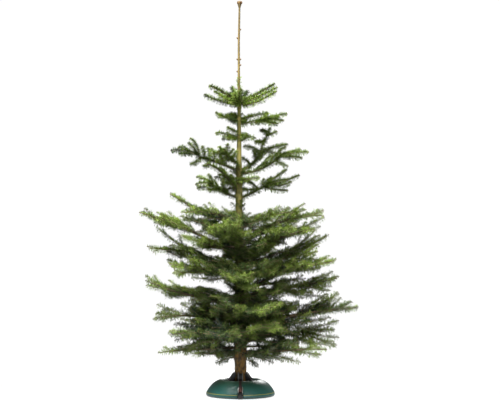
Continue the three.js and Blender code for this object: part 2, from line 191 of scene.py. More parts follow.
# What counts against a place on a bough's wood for a finger's start: the difference of its slope
# and length from the wanted ones, each finger that the bough already has, and sky in its way.
SLOPE_COST = 1.6
RUN_COST = 2.5
USE_COST = 0.08
SKY_COST = 0.6
# The slope of a finger by the height of its tip, in millimetres and radians.
FINGER_SLOPES = ([150, 250, 350, 500, 700, 900], [-0.35, -0.25, -0.05, 0.12, 0.24, 0.32])
# The share of needles that a shoot's last year carries, then each older year.
BOUGH_CLAD = (0.78, 0.95, 0.90, 0.80)
CORE_CLAD = (0.85, 0.5, 0.28)
FINGER_CLAD = (0.9, 0.95, 0.8)
# The side shoots of inner boughs and of fingers: how many of them grow, and their share of reach.
CORE_SIDES = (0.7, 0.7)
FINGER_SIDES = (0.55, 0.42)
# The sky that shows through the crown from the near side, where no side shoot grows: where each
# opening lies in the upright plane through the trunk and its half-sizes, in millimetres.
OPENINGS = [
    (-252, 563, 74, 24), (-137, 548, 56, 18), (-114, 715, 34, 17), (-210, 897, 28, 13),
    (-228, 763, 16, 12), (-102, 865, 16, 10), (197, 750, 16, 12), (236, 788, 16, 12),
    (151, 542, 18, 12), (292, 553, 16, 9), (257, 593, 16, 12), (210, 478, 16, 12),
    (316, 465, 22, 12), (265, 410, 16, 11), (-264, 393, 44, 14), (-282, 478, 24, 14),
    (142, 283, 16, 11), (247, 288, 16, 11), (312, 256, 20, 13), (215, 221, 20, 12),
    (-425, 790, 44, 22), (450, 238, 36, 28), (-147, 186, 30, 30), (70, 262, 25, 12),
]
# Thin growth round the trunk below the crown: count, from height to height, and reach.
LOW_FINE = 14
LOW_FINE_BAND = (0.255, 0.400)
LOW_FINE_REACH = (0.16, 0.30)
# Shoots at the upper stem's nodes: (height, how many, length).
STEM_NODES = [(0.935, 6, 0.045), (1.100, 7, 0.050), (1.285, 4, 0.035)]
# Needles on the stem itself: (from height, to height, share of a shoot's usual density).
STEM_NEEDLES = [(1.335, 1.420, 0.25), (1.420, 1.470, 0.80), (1.475, 1.590, 0.75)]

# Buds up the bare leader: (height, azimuth). The leader's bark stands out in knobs.
LEADER_BUDS = [
    (1.828, 20), (1.785, 185), (1.735, 80), (1.679, 0), (1.679, 180), (1.650, 350), (1.618, 170),
]
TIP_BUDS = 5
LEADER_FOOT = 1.47
LEADER_KNOBS = 0.0012
# Sizes of buds: up the leader and round its tip, then (how far aside, size) at a shoot's tip.
SIDE_BUD = 0.011
TIP_BUD = 0.016
SHOOT_BUDS = ((0.0, 0.0052), (0.7, 0.0038), (-0.7, 0.0038))
# A bud's rings, as shares of its size: how far along it, and how wide.
BUD_RINGS = ([0.0, 0.35, 0.75], [0.25, 0.42, 0.26])

# The trunk's mesh: sides and the step between rings, and how it swells where a bough leaves it.
TRUNK_SIDES = 28
TRUNK_STEP = 0.004
NODE_SWELL = 0.10
NODE_RUN = 0.014
MOST_SWELL = 0.16
# The bark's relief as a share of the radius, and how fine it is across and along the trunk; how
# fine the leader's knobs are along it.
BARK_RELIEF = 0.055
BARK_GRAIN = (26, 16)
KNOB_GRAIN = 130

# The open upper whorls, shoot by shoot. Each shoot is three points, each of them millimetres out
# from the trunk's axis on the bough's side, up from the bough's node, and aside.
UPPER_SHOOTS = {
    "w1_right": [
        (16, 20, 0, 84, 52, 30, 182, 110, 70), (16, 8, 0, 96, 38, -10, 190, 86, -20),
        (16, 0, 0, 84, 10, -40, 182, 62, -80), (10, 16, 0, 56, 32, 45, 116, 46, 95),
    ],
    "w1_left": [
        (2, 4, 0, 84, 52, 40, 150, 80, 75), (4, -2, 0, 76, 28, 0, 124, 56, 10),
        (4, -10, 0, 96, 10, -35, 172, 44, -70), (4, 10, 0, 24, 36, -30, 42, 54, -60),
    ],
    "w2_left": [
        (10, 4, 0, 76, 22, 10, 120, 44, 20), (80, 24, 10, 92, 26, 25, 108, 30, 45),
        (10, 0, 0, 40, 2, 40, 64, 14, 70),
    ],
    "w2_right": [
        (10, 26, 0, 30, 36, 30, 52, 50, 50), (10, 28, 0, 70, 48, 25, 130, 56, 45),
        (10, 2, 0, 70, 14, -5, 150, 26, -10), (116, 22, -5, 156, 40, 30, 220, 54, 60),
        (136, 24, -5, 180, 24, -20, 232, 16, -45), (124, 20, -5, 164, 8, -50, 220, 0, -90),
        (124, 24, -5, 142, 42, -30, 152, 60, -50), (136, 24, -5, 164, 32, 5, 196, 40, 10),
        (116, 20, -5, 110, 12, -40, 108, 8, -70), (84, 14, -5, 104, 28, 25, 122, 36, 55),
    ],
    "w3_left": [
        (4, 10, 0, 36, 20, 20, 64, 36, 35), (10, -22, 0, 60, 2, -5, 116, 8, -10),
        (44, -8, -5, 62, -12, -25, 76, -22, -45), (16, -30, 0, 44, -16, 30, 60, -20, 60),
        (-10, -14, 0, -30, -6, -20, -50, 2, -40), (-10, -32, 0, -42, -14, 10, -78, -16, 25),
        (-10, -12, 0, -20, -2, 30, -30, 0, 60),
    ],
    "w4_left": [
        (4, 4, 0, 110, 48, 0, 196, 74, 0), (196, 74, 0, 260, 106, 5, 340, 108, 10),
        (200, 82, 0, 212, 132, 20, 242, 168, 35), (210, 86, 0, 230, 122, -20, 258, 148, -40),
        (190, 72, 0, 210, 54, -35, 248, 40, -70), (236, 94, 0, 276, 94, -30, 304, 96, -60),
        (170, 66, 0, 176, 106, 30, 180, 128, 60), (150, 60, 0, 150, 96, -40, 160, 122, -75),
        (124, 52, 0, 124, 86, 30, 136, 116, 60), (256, 102, 5, 276, 122, 25, 300, 120, 45),
        (84, 36, 0, 90, 72, -35, 110, 100, -60), (144, 56, 0, 164, 36, -30, 180, 32, -60),
    ],
    "w4_right": [
        (10, -12, 0, 96, 4, 0, 184, 52, 0), (184, 52, 0, 240, 82, 10, 340, 94, 20),
        (224, 74, 0, 256, 94, 30, 296, 108, 50), (224, 72, 5, 264, 68, -25, 320, 64, -45),
        (184, 52, 0, 204, 92, -25, 240, 116, -50), (180, 48, 0, 210, 36, -15, 246, 22, -30),
        (208, 67, 4, 230, 80, -30, 264, 86, -60), (156, 34, 0, 164, 66, 35, 190, 92, 70),
        (124, 20, 0, 144, 54, -30, 176, 72, -60), (84, 2, 0, 104, 26, 30, 136, 40, 60),
    ],
    "w4_back_right": [
        (8, -12, 0, 80, 36, 0, 122, 100, 0), (118, 94, 0, 156, 114, -30, 204, 132, -50),
        (90, 44, 0, 92, 88, -20, 88, 132, -40), (88, 132, -40, 104, 160, -40, 124, 212, -40),
        (111, 178, -40, 88, 191, -50, 60, 194, -60), (110, 172, -40, 120, 180, -60, 128, 192, -75),
        (84, 40, 0, 56, 78, -30, 28, 94, -60), (110, 80, 0, 84, 106, 20, 56, 114, 40),
        (94, 140, -40, 64, 136, -50, 30, 136, -60), (100, 58, 0, 136, 76, 30, 164, 92, 60),
        (56, 18, 0, 44, 52, 30, 20, 60, 60), (120, 94, 0, 136, 84, -40, 164, 72, -80),
    ],
    "w5_left": [
        (10, 2, 0, 84, 32, 0, 138, 66, 0), (136, 64, 0, 172, 76, 20, 220, 68, 35),
        (130, 62, 0, 164, 92, -20, 206, 106, -35), (124, 60, 0, 160, 56, -35, 200, 50, -60),
        (136, 66, 0, 144, 96, 30, 160, 118, 50), (84, 32, 0, 104, 60, -30, 118, 92, -60),
        (100, 44, 0, 136, 40, 30, 164, 42, 60), (56, 20, 0, 62, 40, -30, 80, 44, -60),
        (76, 28, 0, 84, 54, 35, 90, 76, 70),
    ],
    "w5_right": [
        (10, -4, 0, 80, 30, 0, 136, 60, 0), (136, 60, 0, 184, 96, 25, 246, 140, 50),
        (136, 60, 0, 216, 78, -5, 300, 112, -10), (156, 64, 0, 200, 60, -35, 252, 76, -60),
        (124, 54, 0, 176, 38, -45, 230, 36, -80), (96, 38, 0, 64, 66, -20, 40, 78, -40),
        (96, 38, 0, 70, 40, 30, 48, 36, 55), (120, 52, 0, 116, 76, -30, 116, 92, -50),
        (136, 60, 0, 156, 86, 50, 180, 100, 95), (144, 64, 0, 184, 80, -60, 224, 88, -100),
    ],
    "w5_near_left": [
        (10, -4, 0, 84, 86, 0, 156, 126, 0), (40, 30, 0, 76, 32, 25, 100, 44, 50),
        (64, 60, 0, 64, 92, -25, 80, 110, -45), (16, 46, 20, -30, 56, 60, -64, 60, 90),
        (16, 50, 20, 56, 68, -40, 76, 76, -70),
    ],
}
# Boughs on the near and far sides grow like one of those, at a share of its size.
UPPER_LIKE = {
    "w1_near": ("w1_left", 0.75),
    "w1_far": ("w1_right", 0.85),
    "w2_far": ("w2_right", 0.70),
    "w4_near": ("w4_left", 0.62),
    "w5_far": ("w5_right", 1.0),
}

# Needles of a fir, a little wider than in life. Strays stand out further than the rest, by some
# degrees. The pair of lengths is the share of the full length that strays and the others have.
NEEDLE_LENGTH = 0.0200
NEEDLE_WIDTH = 0.0028
STRAY_SHARE = 0.28
STRAY_LEAN = 26
STRAY_LENGTH = (1.42, 0.78)
# How far round the twig from straight up needles stand, in degrees: strays, and the others.
TURN_ALL = 175
TURN_MOST = 132
# How far they lean out from the twig, in degrees, with the spread: more so at its sides, and less
# on the stem. The length is a share at the top, and grows by another share towards the sides.
NEEDLE_LEAN = (44, 7)
SIDE_LEAN = 18
STEM_LEAN = 14
TOP_LENGTH = 0.66
SIDE_LENGTH = 0.36
# How many needles grow in all and go into one piece; then the density, length and kinds of spray
# of the upper shoots.
NEEDLE_BUDGET = 352000
PIECE_NEEDLES = 95000
UPPER_CLAD = 2.6
UPPER_NEEDLE = 0.92
UPPER_KINDS = {"fresh": 0.46, "bright": 0.46, "mid": 0.08}

# The floor, a light table; the world, white to the camera and dimmer as a light.
FLOOR_RADIUS = 1.3
FLOOR_GREY = 0.30
FLOOR_GLOW = 0.86
WORLD_LIGHT = 0.17
WORLD_WHITE = 1.02
# Soft lamps: (name, place, height of the point on the axis that it faces, size, power).
LAMPS = [
    ("key", (-0.9, -1.8, 4.9), 0.7, 2.4, 790),
    ("front", (1.6, -4.6, 2.4), 0.8, 2.4, 108),
    ("back", (0.6, 4.6, 3.2), 0.7, 2.8, 330),
]

# Base colours of the sprays, linear RGB, from the newest outer shoots to the oldest inner ones;
# the darker kinds also carry the painted shade of sprays low, inside and on the shaded near side
# of the crown.
SPRAY_COLORS = {
    "fresh": (0.186, 0.262, 0.046),
    "bright": (0.110, 0.160, 0.031),
    "mid": (0.055, 0.087, 0.024),
    "dark": (0.024, 0.040, 0.024),
    "pale": (0.150, 0.185, 0.115),
}


# ---------------------------------------------------------------- meshes from arrays


def add_object(name, data):
    made = bpy.data.objects.new(name, data)
    bpy.context.scene.collection.objects.link(made)
    return made


def mesh_object(name, vertices, faces, material, smooth=False):
    """A mesh object from an array of points and an array of triangles or quads."""
    vertices = np.asarray(vertices, dtype=np.float32).reshape(-1, 3)
    faces = np.asarray(faces, dtype=np.int32)
    count, corners = faces.shape
    mesh = bpy.data.meshes.new(name)
    mesh.vertices.add(len(vertices))
    mesh.vertices.foreach_set("co", vertices.ravel())
    mesh.loops.add(count * corners)
    mesh.loops.foreach_set("vertex_index", faces.ravel())
    mesh.polygons.add(count)
    mesh.polygons.foreach_set("loop_start", np.arange(0, count * corners, corners, dtype=np.int32))
    mesh.polygons.foreach_set("use_smooth", np.full(count, smooth))
    mesh.update(calc_edges=True)
    mesh.validate()
    mesh.materials.append(material)
    return add_object(name, mesh)


def finish_piece(piece, slot, *nodes):
    """Every piece rides on the one body and replaces the nodes it stands for, which it hides; the
    slot is not used.
    """
    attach(piece, "root")
    if nodes:
        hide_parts(*nodes)


def outward(azimuth):
    return np.array([math.cos(azimuth), math.sin(azimuth), 0.0])


def unit_rows(rows, least=0.0):
    return rows / np.maximum(np.linalg.norm(rows, axis=1, keepdims=True), least)


def add_piece(name, arrays, material, slot, *nodes, smooth=False):
    """A mesh object from (vertices, faces) that is finished as a piece."""
    finish_piece(mesh_object(name, *arrays, material, smooth), slot, *nodes)


def directions(points):
    """Unit tangents of a polyline."""
    return unit_rows(np.gradient(points, axis=0), 1e-9)


def ring_quads(rows, sides):
    """The vertices of closed rings, row by row, their neighbours in the ring, and the quads."""
    index = np.arange(rows * sides).reshape(rows, sides)
    after = np.roll(index, -1, axis=1)
    quads = np.stack([index[:-1], after[:-1], after[1:], index[1:]], axis=-1).reshape(-1, 4)
    return index, after, quads


def split_quads(quads):
    return np.concatenate([quads[:, [0, 1, 2]], quads[:, [0, 2, 3]]])


def fan(ring, after, point):
    """Triangles from a ring's sides to one point."""
    return np.stack([ring, after, np.full(len(ring), point)], axis=-1)


def tube_arrays(points, radii, sides):
    """Rings round a polyline, with the last ring drawn to a point: vertices and triangles."""
    tangent = directions(points)
    reference = np.array([0.0, 0.0, 1.0])
    if abs(tangent[0][2]) > 0.9:
        reference = np.array([0.0, 1.0, 0.0])
    side = np.cross(tangent, reference)
    side /= np.linalg.norm(side, axis=1, keepdims=True)
    over = np.cross(side, tangent)
    turns = np.linspace(0, 2 * math.pi, sides, endpoint=False)
    ring = (np.cos(turns)[None, :, None] * side[:, None]
            + np.sin(turns)[None, :, None] * over[:, None])
    vertices = points[:, None] + ring * radii[:, None, None]
    index, after, quads = ring_quads(len(points), sides)
    vertices = np.concatenate([vertices.reshape(-1, 3), points[-1:] + tangent[-1:] * radii[-1]])
    return vertices, np.concatenate([split_quads(quads), fan(index[-1], after[-1], index.size)])


def run_of(points):
    """How far along a polyline each of its points lies."""
    return np.concatenate([[0], np.cumsum(np.linalg.norm(np.diff(points, axis=0), axis=1))])


def at_run(where, run, rows):
    """Rows of three values read off at places along a polyline."""
    return np.stack([np.interp(where, run, rows[:, k]) for k in range(3)], axis=-1)


def join_arrays(parts):
    """Several (vertices, faces) pairs as one."""
    vertices = []
    faces = []
    offset = 0
    for points, corners in parts:
        vertices.append(points)
        faces.append(corners + offset)
        offset += len(points)
    return np.concatenate(vertices), np.concatenate(faces)


# ---------------------------------------------------------------- materials


def shader_of(material):
    return material.node_tree.nodes["Principled BSDF"]


def new_material(name, color, roughness, **sockets):
    """A material whose named sockets are set on the shader, with _ for a space in the name."""
    material = bpy.data.materials.new(name)
    material.use_nodes = True
    shader = shader_of(material)
    shader.inputs["Base Color"].default_value = (*color, 1)
    shader.inputs["Roughness"].default_value = roughness
    for key, value in sockets.items():
        shader.inputs[key.replace("_", " ")].default_value = value
    return material


def node(material, kind, **values):
    made = material.node_tree.nodes.new(kind)
    for key, value in values.items():
        if key in made.inputs:
            made.inputs[key].default_value = value
        else:
            setattr(made, key, value)
    return made


def link(material, source, target):
    material.node_tree.links.new(source, target)


def ramp(material, factor, stops):
    """A colour ramp over a factor: stops are (place, linear RGB)."""
    made = node(material, "ShaderNodeValToRGB")
    elements = made.color_ramp.elements
    while len(elements) < len(stops):
        elements.new(0.5)
    for element, (place, color) in zip(elements, stops):
        element.position = place
        element.color = (*color, 1)
    link(material, factor, made.inputs["Fac"])
    return made.outputs["Color"]


def position(material, scale=(1, 1, 1)):
    """Object coordinates, stretched."""
    place = node(material, "ShaderNodeTexCoord")
    mapping = node(material, "ShaderNodeMapping")
    mapping.inputs["Scale"].default_value = scale
    link(material, place.outputs["Object"], mapping.inputs["Vector"])
    return mapping.outputs["Vector"]


def noise_value(material, vector, scale, detail=3.0):
    made = node(material, "ShaderNodeTexNoise", Scale=scale, Detail=detail)
    link(material, vector, made.inputs["Vector"])
    return made.outputs["Fac"]


def height_value(material):
    """The height above the floor."""
    axes = node(material, "ShaderNodeSeparateXYZ")
    link(material, position(material), axes.inputs[0])
    return axes.outputs["Z"]


def mix_colors(material, factor, a, b, blend="MIX"):
    """Two colours mixed. The factor and the colours are outputs of nodes or plain values."""
    made = node(material, "ShaderNodeMix", data_type="RGBA", blend_type=blend)
    if isinstance(factor, float):
        made.inputs["Factor"].default_value = factor
    else:
        link(material, factor, made.inputs["Factor"])
    for socket, value in (("A", a), ("B", b)):
        target = [i for i in made.inputs if i.name == socket and i.type == "RGBA"][0]
        if isinstance(value, tuple):
            target.default_value = (*value, 1)
        else:
            link(material, value, target)
    return [o for o in made.outputs if o.type == "RGBA"][0]


def add_bump(material, scale, detail, strength, distance, stretch=(1, 1, 1)):
    """A noise bump over the whole surface."""
    made = node(material, "ShaderNodeBump", Strength=strength, Distance=distance)
    height = noise_value(material, position(material, stretch), scale, detail)
    link(material, height, made.inputs["Height"])
    link(material, made.outputs["Normal"], shader_of(material).inputs["Normal"])


def base_color(material, color):
    link(material, color, shader_of(material).inputs["Base Color"])


def trunk_material():
    """Golden-brown mottled foot, olive stem, tan leader, with lenticels and fine cracks."""
    material = new_material("trunk_bark", (0.1, 0.08, 0.03), 0.82)
    share = node(material, "ShaderNodeMath", operation="DIVIDE")
    link(material, height_value(material), share.inputs[0])
    share.inputs[1].default_value = cad_box[1][2]
    lit = ramp(material, share.outputs[0], [
        (0.06, (0.130, 0.070, 0.012)),
        (0.17, (0.110, 0.072, 0.016)),
        (0.45, (0.130, 0.122, 0.026)),
        (0.66, (0.250, 0.222, 0.058)),
        (0.76, (0.185, 0.148, 0.040)),
        (0.90, (0.160, 0.112, 0.033)),
        (0.99, (0.130, 0.096, 0.033)),
    ])
    patches = noise_value(material, position(material, (1, 1, 0.8)), 55, 6)
    dark = mix_colors(material, ramp(material, patches, [(0.42, (0, 0, 0)), (0.62, (1, 1, 1))]),
                      (0.22, 0.24, 0.24), (1.15, 1.08, 1.0))
    strength = ramp(material, share.outputs[0], [
        (0.15, (1, 1, 1)), (0.60, (0.5, 0.5, 0.5)), (0.78, (0.3, 0.3, 0.3)),
    ])
    base_color(material, mix_colors(material, strength, lit, dark, "MULTIPLY"))
    add_bump(material, 190, 6, 0.7, 0.0016, (1, 1, 0.25))
    return material


def limb_material():
    """Smooth grey-brown bough bark with darker patches."""
    material = new_material("limb_bark", (0.12, 0.085, 0.045), 0.8)
    patches = noise_value(material, position(material), 90, 4)
    base_color(material, ramp(material, patches, [
        (0.30, (0.036, 0.024, 0.014)),
        (0.52, (0.095, 0.066, 0.033)),
        (0.75, (0.165, 0.126, 0.066)),
    ]))
    add_bump(material, 260, 5, 0.6, 0.001)
    return material


def shell_material():
    """Semi-gloss moulded green, teal on the flanks; darker towards the foot and on the shoulder as
    painted shade, with a painted highlight at the crest.
    """
    material = new_material("shell_green", (0.02, 0.09, 0.065), 0.42,
                            Coat_Weight=0.06, Coat_Roughness=0.35)
    soft = noise_value(material, position(material, (1, 1, 3.0)), 9, 2)
    height = node(material, "ShaderNodeMapRange")
    link(material, height_value(material), height.inputs["Value"])
    height.inputs["From Max"].default_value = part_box("stand_shell")[1][2]
    # Painted light by height: painted shade at the foot, the moulding's own teal on the flanks,
    # painted shade on the shoulder and a lighter painted highlight at the crest.
    tone_with_painted_light = ramp(material, height.outputs[0], [
        (0.00, (0.004, 0.020, 0.018)),
        (0.07, (0.007, 0.040, 0.038)),
        (0.16, (0.016, 0.088, 0.080)),
        (0.55, (0.017, 0.092, 0.076)),
        (0.80, (0.015, 0.068, 0.048)),
        (0.93, (0.024, 0.066, 0.044)),
        (1.00, (0.060, 0.110, 0.080)),
    ])
    fleck = ramp(material, soft, [(0.30, (0.78, 0.80, 0.80)), (0.70, (1.10, 1.08, 1.06))])
    base_color(material, mix_colors(material, 1.0, tone_with_painted_light, fleck, "MULTIPLY"))
    add_bump(material, 900, 2, 0.12, 0.0003)
    return material


def plastic_material(name, color, roughness, mottle=0.25, **sockets):
    """Moulded plastic or metal with a faint grain and slight change of tone."""
    material = new_material(name, color, roughness, **sockets)
    grain = noise_value(material, position(material), 140, 3)
    low = tuple(channel * (1 - mottle) for channel in color)
    high = tuple(channel * (1 + mottle) for channel in color)
    base_color(material, ramp(material, grain, [(0.3, low), (0.7, high)]))
    add_bump(material, 700, 2, 0.15, 0.0003)
    return material


def needle_material(kind):
    return new_material(f"needles_{kind}", SPRAY_COLORS[kind], 0.5, Specular_IOR_Level=0.16)


# ---------------------------------------------------------------- the frame's trunk and masses


class Trunk:
    """The CAD trunk's axis and radius at any height."""

    def __init__(self):
        points = np.array([v.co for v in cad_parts["trunk"].data.vertices])
        self.heights = np.unique(np.round(points[:, 2], 4))
        rings = [points[np.abs(points[:, 2] - z) < 2e-4] for z in self.heights]
        self.centres = np.array([(ring.min(axis=0) + ring.max(axis=0)) / 2 for ring in rings])
        spans = [np.linalg.norm(ring[:, :2] - middle[:2], axis=1).max()
                 for ring, middle in zip(rings, self.centres)]
        # The rings are ten-sided: this is the radius at the middles of their flats.
        self.radii = np.array(spans) * math.cos(math.pi / 10)

    def centre(self, z):
        x = np.interp(z, self.heights, self.centres[:, 0])
        y = np.interp(z, self.heights, self.centres[:, 1])
        return np.array([x, y, z])

    def radius(self, z):
        return np.interp(z, self.heights, self.radii)


class Solid:
    """A CAD solid that says how high its middle is, and how thick it is, at a point in plan."""

    def __init__(self, name):
        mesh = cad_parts[name].data
        self.points = np.array([v.co for v in mesh.vertices])
        self.tree = BVHTree.FromPolygons([tuple(v) for v in self.points],
                                         [tuple(p.vertices) for p in mesh.polygons])
        self.box = (self.points.min(axis=0), self.points.max(axis=0))
        self.low = float(self.points[:, 2].min()) - 0.01
        self.high = float(self.points[:, 2].max()) + 0.01

    def middle(self, x, y):
        """(height of the middle, half-thickness) at a point in plan, or None outside."""
        top = self.tree.ray_cast(Vector((x, y, self.high)), Vector((0, 0, -1)))[0]
        if top is None:
            return None
        bottom = self.tree.ray_cast(Vector((x, y, self.low)), Vector((0, 0, 1)))[0]
        if bottom is None:
            return None
        return (top.z + bottom.z) / 2, (top.z - bottom.z) / 2


trunk = Trunk()


class Bough:
    """One foliage mass, with its limb where it has one: heading, reach and its axis's line."""

    def __init__(self, key):
        self.key = key
        self.level = int(key.split("_")[0][1:])
        self.mass = Solid(f"foliage_{key}")
        limb = f"bough_{key}"
        self.limb = Solid(limb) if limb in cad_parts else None
        root_height = float(self.mass.points[:, 2].min())
        base = trunk.centre(root_height)[:2]
        away = self.mass.points[:, :2] - base
        distance = np.linalg.norm(away, axis=1)
        far = away[distance > 0.93 * distance.max()].mean(axis=0)
        self.azimuth = math.atan2(far[1], far[0])
        self.base = base
        along = away @ outward(self.azimuth)[:2]
        self.reach = float(along.max()) - 0.002
        self.axis = self.trace_axis()
        self.upper = key in UPPER_SHOOTS or key in UPPER_LIKE

    def middle(self, x, y):
        return self.mass.middle(x, y)

    def trace_axis(self):
        """The woody axis: the middle of the limb, then of the mass, smoothed, out to the tip."""
        heading = outward(self.azimuth)[:2]
        distances = np.linspace(0.0, self.reach, max(12, int(self.reach / AXIS_STEP)))
        heights = []
        for distance in distances:
            x, y = self.base + heading * distance
            hit = self.limb.middle(x, y) if self.limb else None
            hit = self.mass.middle(x, y) or hit
            heights.append(np.nan if hit is None else hit[0])
        heights = np.array(heights)
        known = ~np.isnan(heights)
        order = 3 if known.sum() > 12 else 2
        curve = np.polynomial.Polynomial.fit(distances[known], heights[known], order)
        points = np.empty((len(distances), 3))
        points[:, :2] = self.base + heading * distances[:, None]
        points[:, 2] = curve(distances)
        return points


# ---------------------------------------------------------------- growth


class Shoot:
    """A length of twig: its line, its end radii, its order, and which spray its needles join."""

    def __init__(self, points, thick, thin, order, spray, clad=1.0, tip=False, upright=False,
                 size=1.0):
        self.points = points
        self.thick = thick
        self.thin = thin
        self.order = order
        self.spray = spray
        self.clad = clad
        self.tip = tip
        self.upright = upright
        self.size = size
        steps = np.linalg.norm(np.diff(points, axis=0), axis=1)
        self.length = float(steps.sum())


def cut_at_opening(line):
    """A line as far as the first opening in its way, as the camera sees the openings."""
    nearness = CAMERA_DISTANCE / (CAMERA_DISTANCE + line[:, 1])
    x = (CAMERA_ASIDE + (line[:, 0] - CAMERA_ASIDE) * nearness) / MM
    z = (CAMERA_HEIGHT + (line[:, 2] - CAMERA_HEIGHT) * nearness) / MM
    inside = np.zeros(len(line), dtype=bool)
    for middle, height, half, tall in OPENINGS:
        inside |= ((x - middle) / half) ** 2 + ((z - height) / tall) ** 2 < 1
    return line[:np.argmax(inside)] if inside.any() else line


def room_ahead(bough, start, azimuth, limit):
    """How far a shoot can run in plan from a point before it leaves the mass."""
    dx, dy = math.cos(azimuth), math.sin(azimuth)
    gone = 0.012
    while gone < limit:
        if bough.middle(start[0] + dx * gone, start[1] + dy * gone) is None:
            return gone
        gone += MARCH
    return limit


def points_in(length):
    """How many points a line of some length has."""
    return max(4, int(math.ceil(length / POINT_STEP)) + 1)


def run_line(bough, start, azimuth, length, turn, lift, rise, flick):
    """A curving line that settles onto the mass's middle, `lift` half-thicknesses up.

    Its outer part leaves that layer at the slope `flick`, so that each tip stands free."""
    count = points_in(length)
    share = np.linspace(0, 1, count)
    headings = azimuth + turn * share
    step = length / (count - 1)
    points = np.empty((count, 3))
    points[0] = start
    height = start[2]
    for i in range(1, count):
        points[i, 0] = points[i - 1, 0] + math.cos(headings[i]) * step
        points[i, 1] = points[i - 1, 1] + math.sin(headings[i]) * step
        hit = bough.middle(points[i, 0], points[i, 1])
        free = min(1.0, max(0.0, (share[i] - FREE_SHARE) / FREE_EASE))
        height += (rise * (1 - free) + flick * free) * step
        if hit is not None:
            settle = min(1.0, i * step / SETTLE_RUN) * (1 - free)
            target = hit[0] + lift * hit[1]
            height = height * (1 - SETTLE_SHARE * settle) + target * SETTLE_SHARE * settle
        points[i, 2] = height
    return points


def spray_kind(bough, age, away, mood, rng):
    """Newest outer sprays are freshest and older ones darker; lower, inner and shaded near ones
    are darker as painted shade, and top ones lighter as painted light.
    """
    level = bough.level
    low = (level - OPEN_WHORLS) / (WHORLS - OPEN_WHORLS)
    score = age * AGE_SCORE + LOW_SHADE_SCORE * max(0.0, low) + mood + rng.normal(0, SPRAY_SPREAD)
    # Painted shade on near boughs of the low whorls, under those above, less towards their tips.
    if level >= SHADED_LEVEL and math.sin(bough.azimuth) < -0.5:
        score += SHADE_NEAR * (1 - 0.6 * max(0.0, away / bough.reach - 0.6) / 0.4)
    # Painted shade inside the crown, near the trunk.
    nearness = max(0.0, INNER_REACH - away)
    score += INNER_SHADE_SCORE * nearness / INNER_REACH * (1 if level > OPEN_WHORLS else 0.2)
    # Painted light: the top whorls a lighter tone.
    if level <= TOP_WHORLS:
        score += TOP_LIGHT_SCORE
    for kind, most in SPRAY_STEPS.items():
        if score < most:
            return kind
    return "dark"


def split_years(points, years):
    """A line cut into a number of near-equal lengths that share their end points."""
    count = len(points)
    years = max(1, min(years, (count - 1) // 2))
    cuts = np.round(np.linspace(0, count - 1, years + 1)).astype(int)
    return [points[a:b + 1] for a, b in zip(cuts[:-1], cuts[1:])]


def add_years(line, years, thick, order, kind_of, shoots, clads=BOUGH_CLAD, size=1.0):
    """The yearly lengths of one shoot as separate sprays; returns them from the oldest out."""
    pieces = split_years(line, years)
    for i, piece in enumerate(pieces):
        age = len(pieces) - 1 - i
        near, far = [1 - k / len(pieces) for k in (i, i + 1)]
        radii = [TIP_RADIUS + (thick - TIP_RADIUS) * share for share in (near, far)]
        shoots.append(Shoot(piece, *radii, order, kind_of(age, piece[-1]),
                            clads[min(age, len(clads) - 1)], age == 0, size=size))
    return pieces


def plan_distance(point):
    """How far a point lies from the trunk's axis in plan."""
    return float(np.linalg.norm(point[:2] - trunk.centre(point[2])[:2]))


def heading_of(piece):
    run = piece[-1] - piece[-2]
    return math.atan2(run[1], run[0])


def grow_side(bough, start, azimuth, limit, order, lift, rng, shoots, sense,
              turn=FORWARD_TURN, mood=None):
    """A side shoot of some years' growth with its own side shoots, kept inside its mass."""
    room = room_ahead(bough, start, azimuth, limit)
    length = min(limit, room * rng.uniform(*ROOM_SHARE))
    if length < LEAST_SHOOT:
        return
    if mood is None:
        mood = rng.normal(0, MOOD)
    whole = run_line(bough, start, azimuth, length, turn * sense * rng.uniform(0.4, 1.3), lift,
                     rng.uniform(0.05, 0.40), rng.uniform(*FLICK))
    line = cut_at_opening(whole)
    if len(line) < 3:
        return
    length *= len(line) / len(whole)
    years = max(1, int(round(length / SIDE_YEAR)))
    thick = TIP_RADIUS + SIDE_TAPER * length / (1 + order)
    kind_of = lambda age, place: spray_kind(bough, age, plan_distance(place), mood, rng)
    pieces = add_years(line, years, thick, order, kind_of, shoots)
    if order >= 3:
        return
    for i, piece in enumerate(pieces[:-1]):
        remaining = length * (1 - (i + 1) / len(pieces))
        for side in (-1, 1):
            if order == 2 and rng.random() < 0.5:
                continue
            fork = heading_of(piece) + side * FORK_ANGLE * rng.uniform(*FORK_SPREAD)
            reach = (SIDE_REACH[0] * remaining + SIDE_REACH[1]) * rng.uniform(*REACH_SPREAD)
            grow_side(bough, piece[-1], fork, reach, order + 1, lift + rng.normal(0, 0.25),
                      rng, shoots, side, mood=mood)


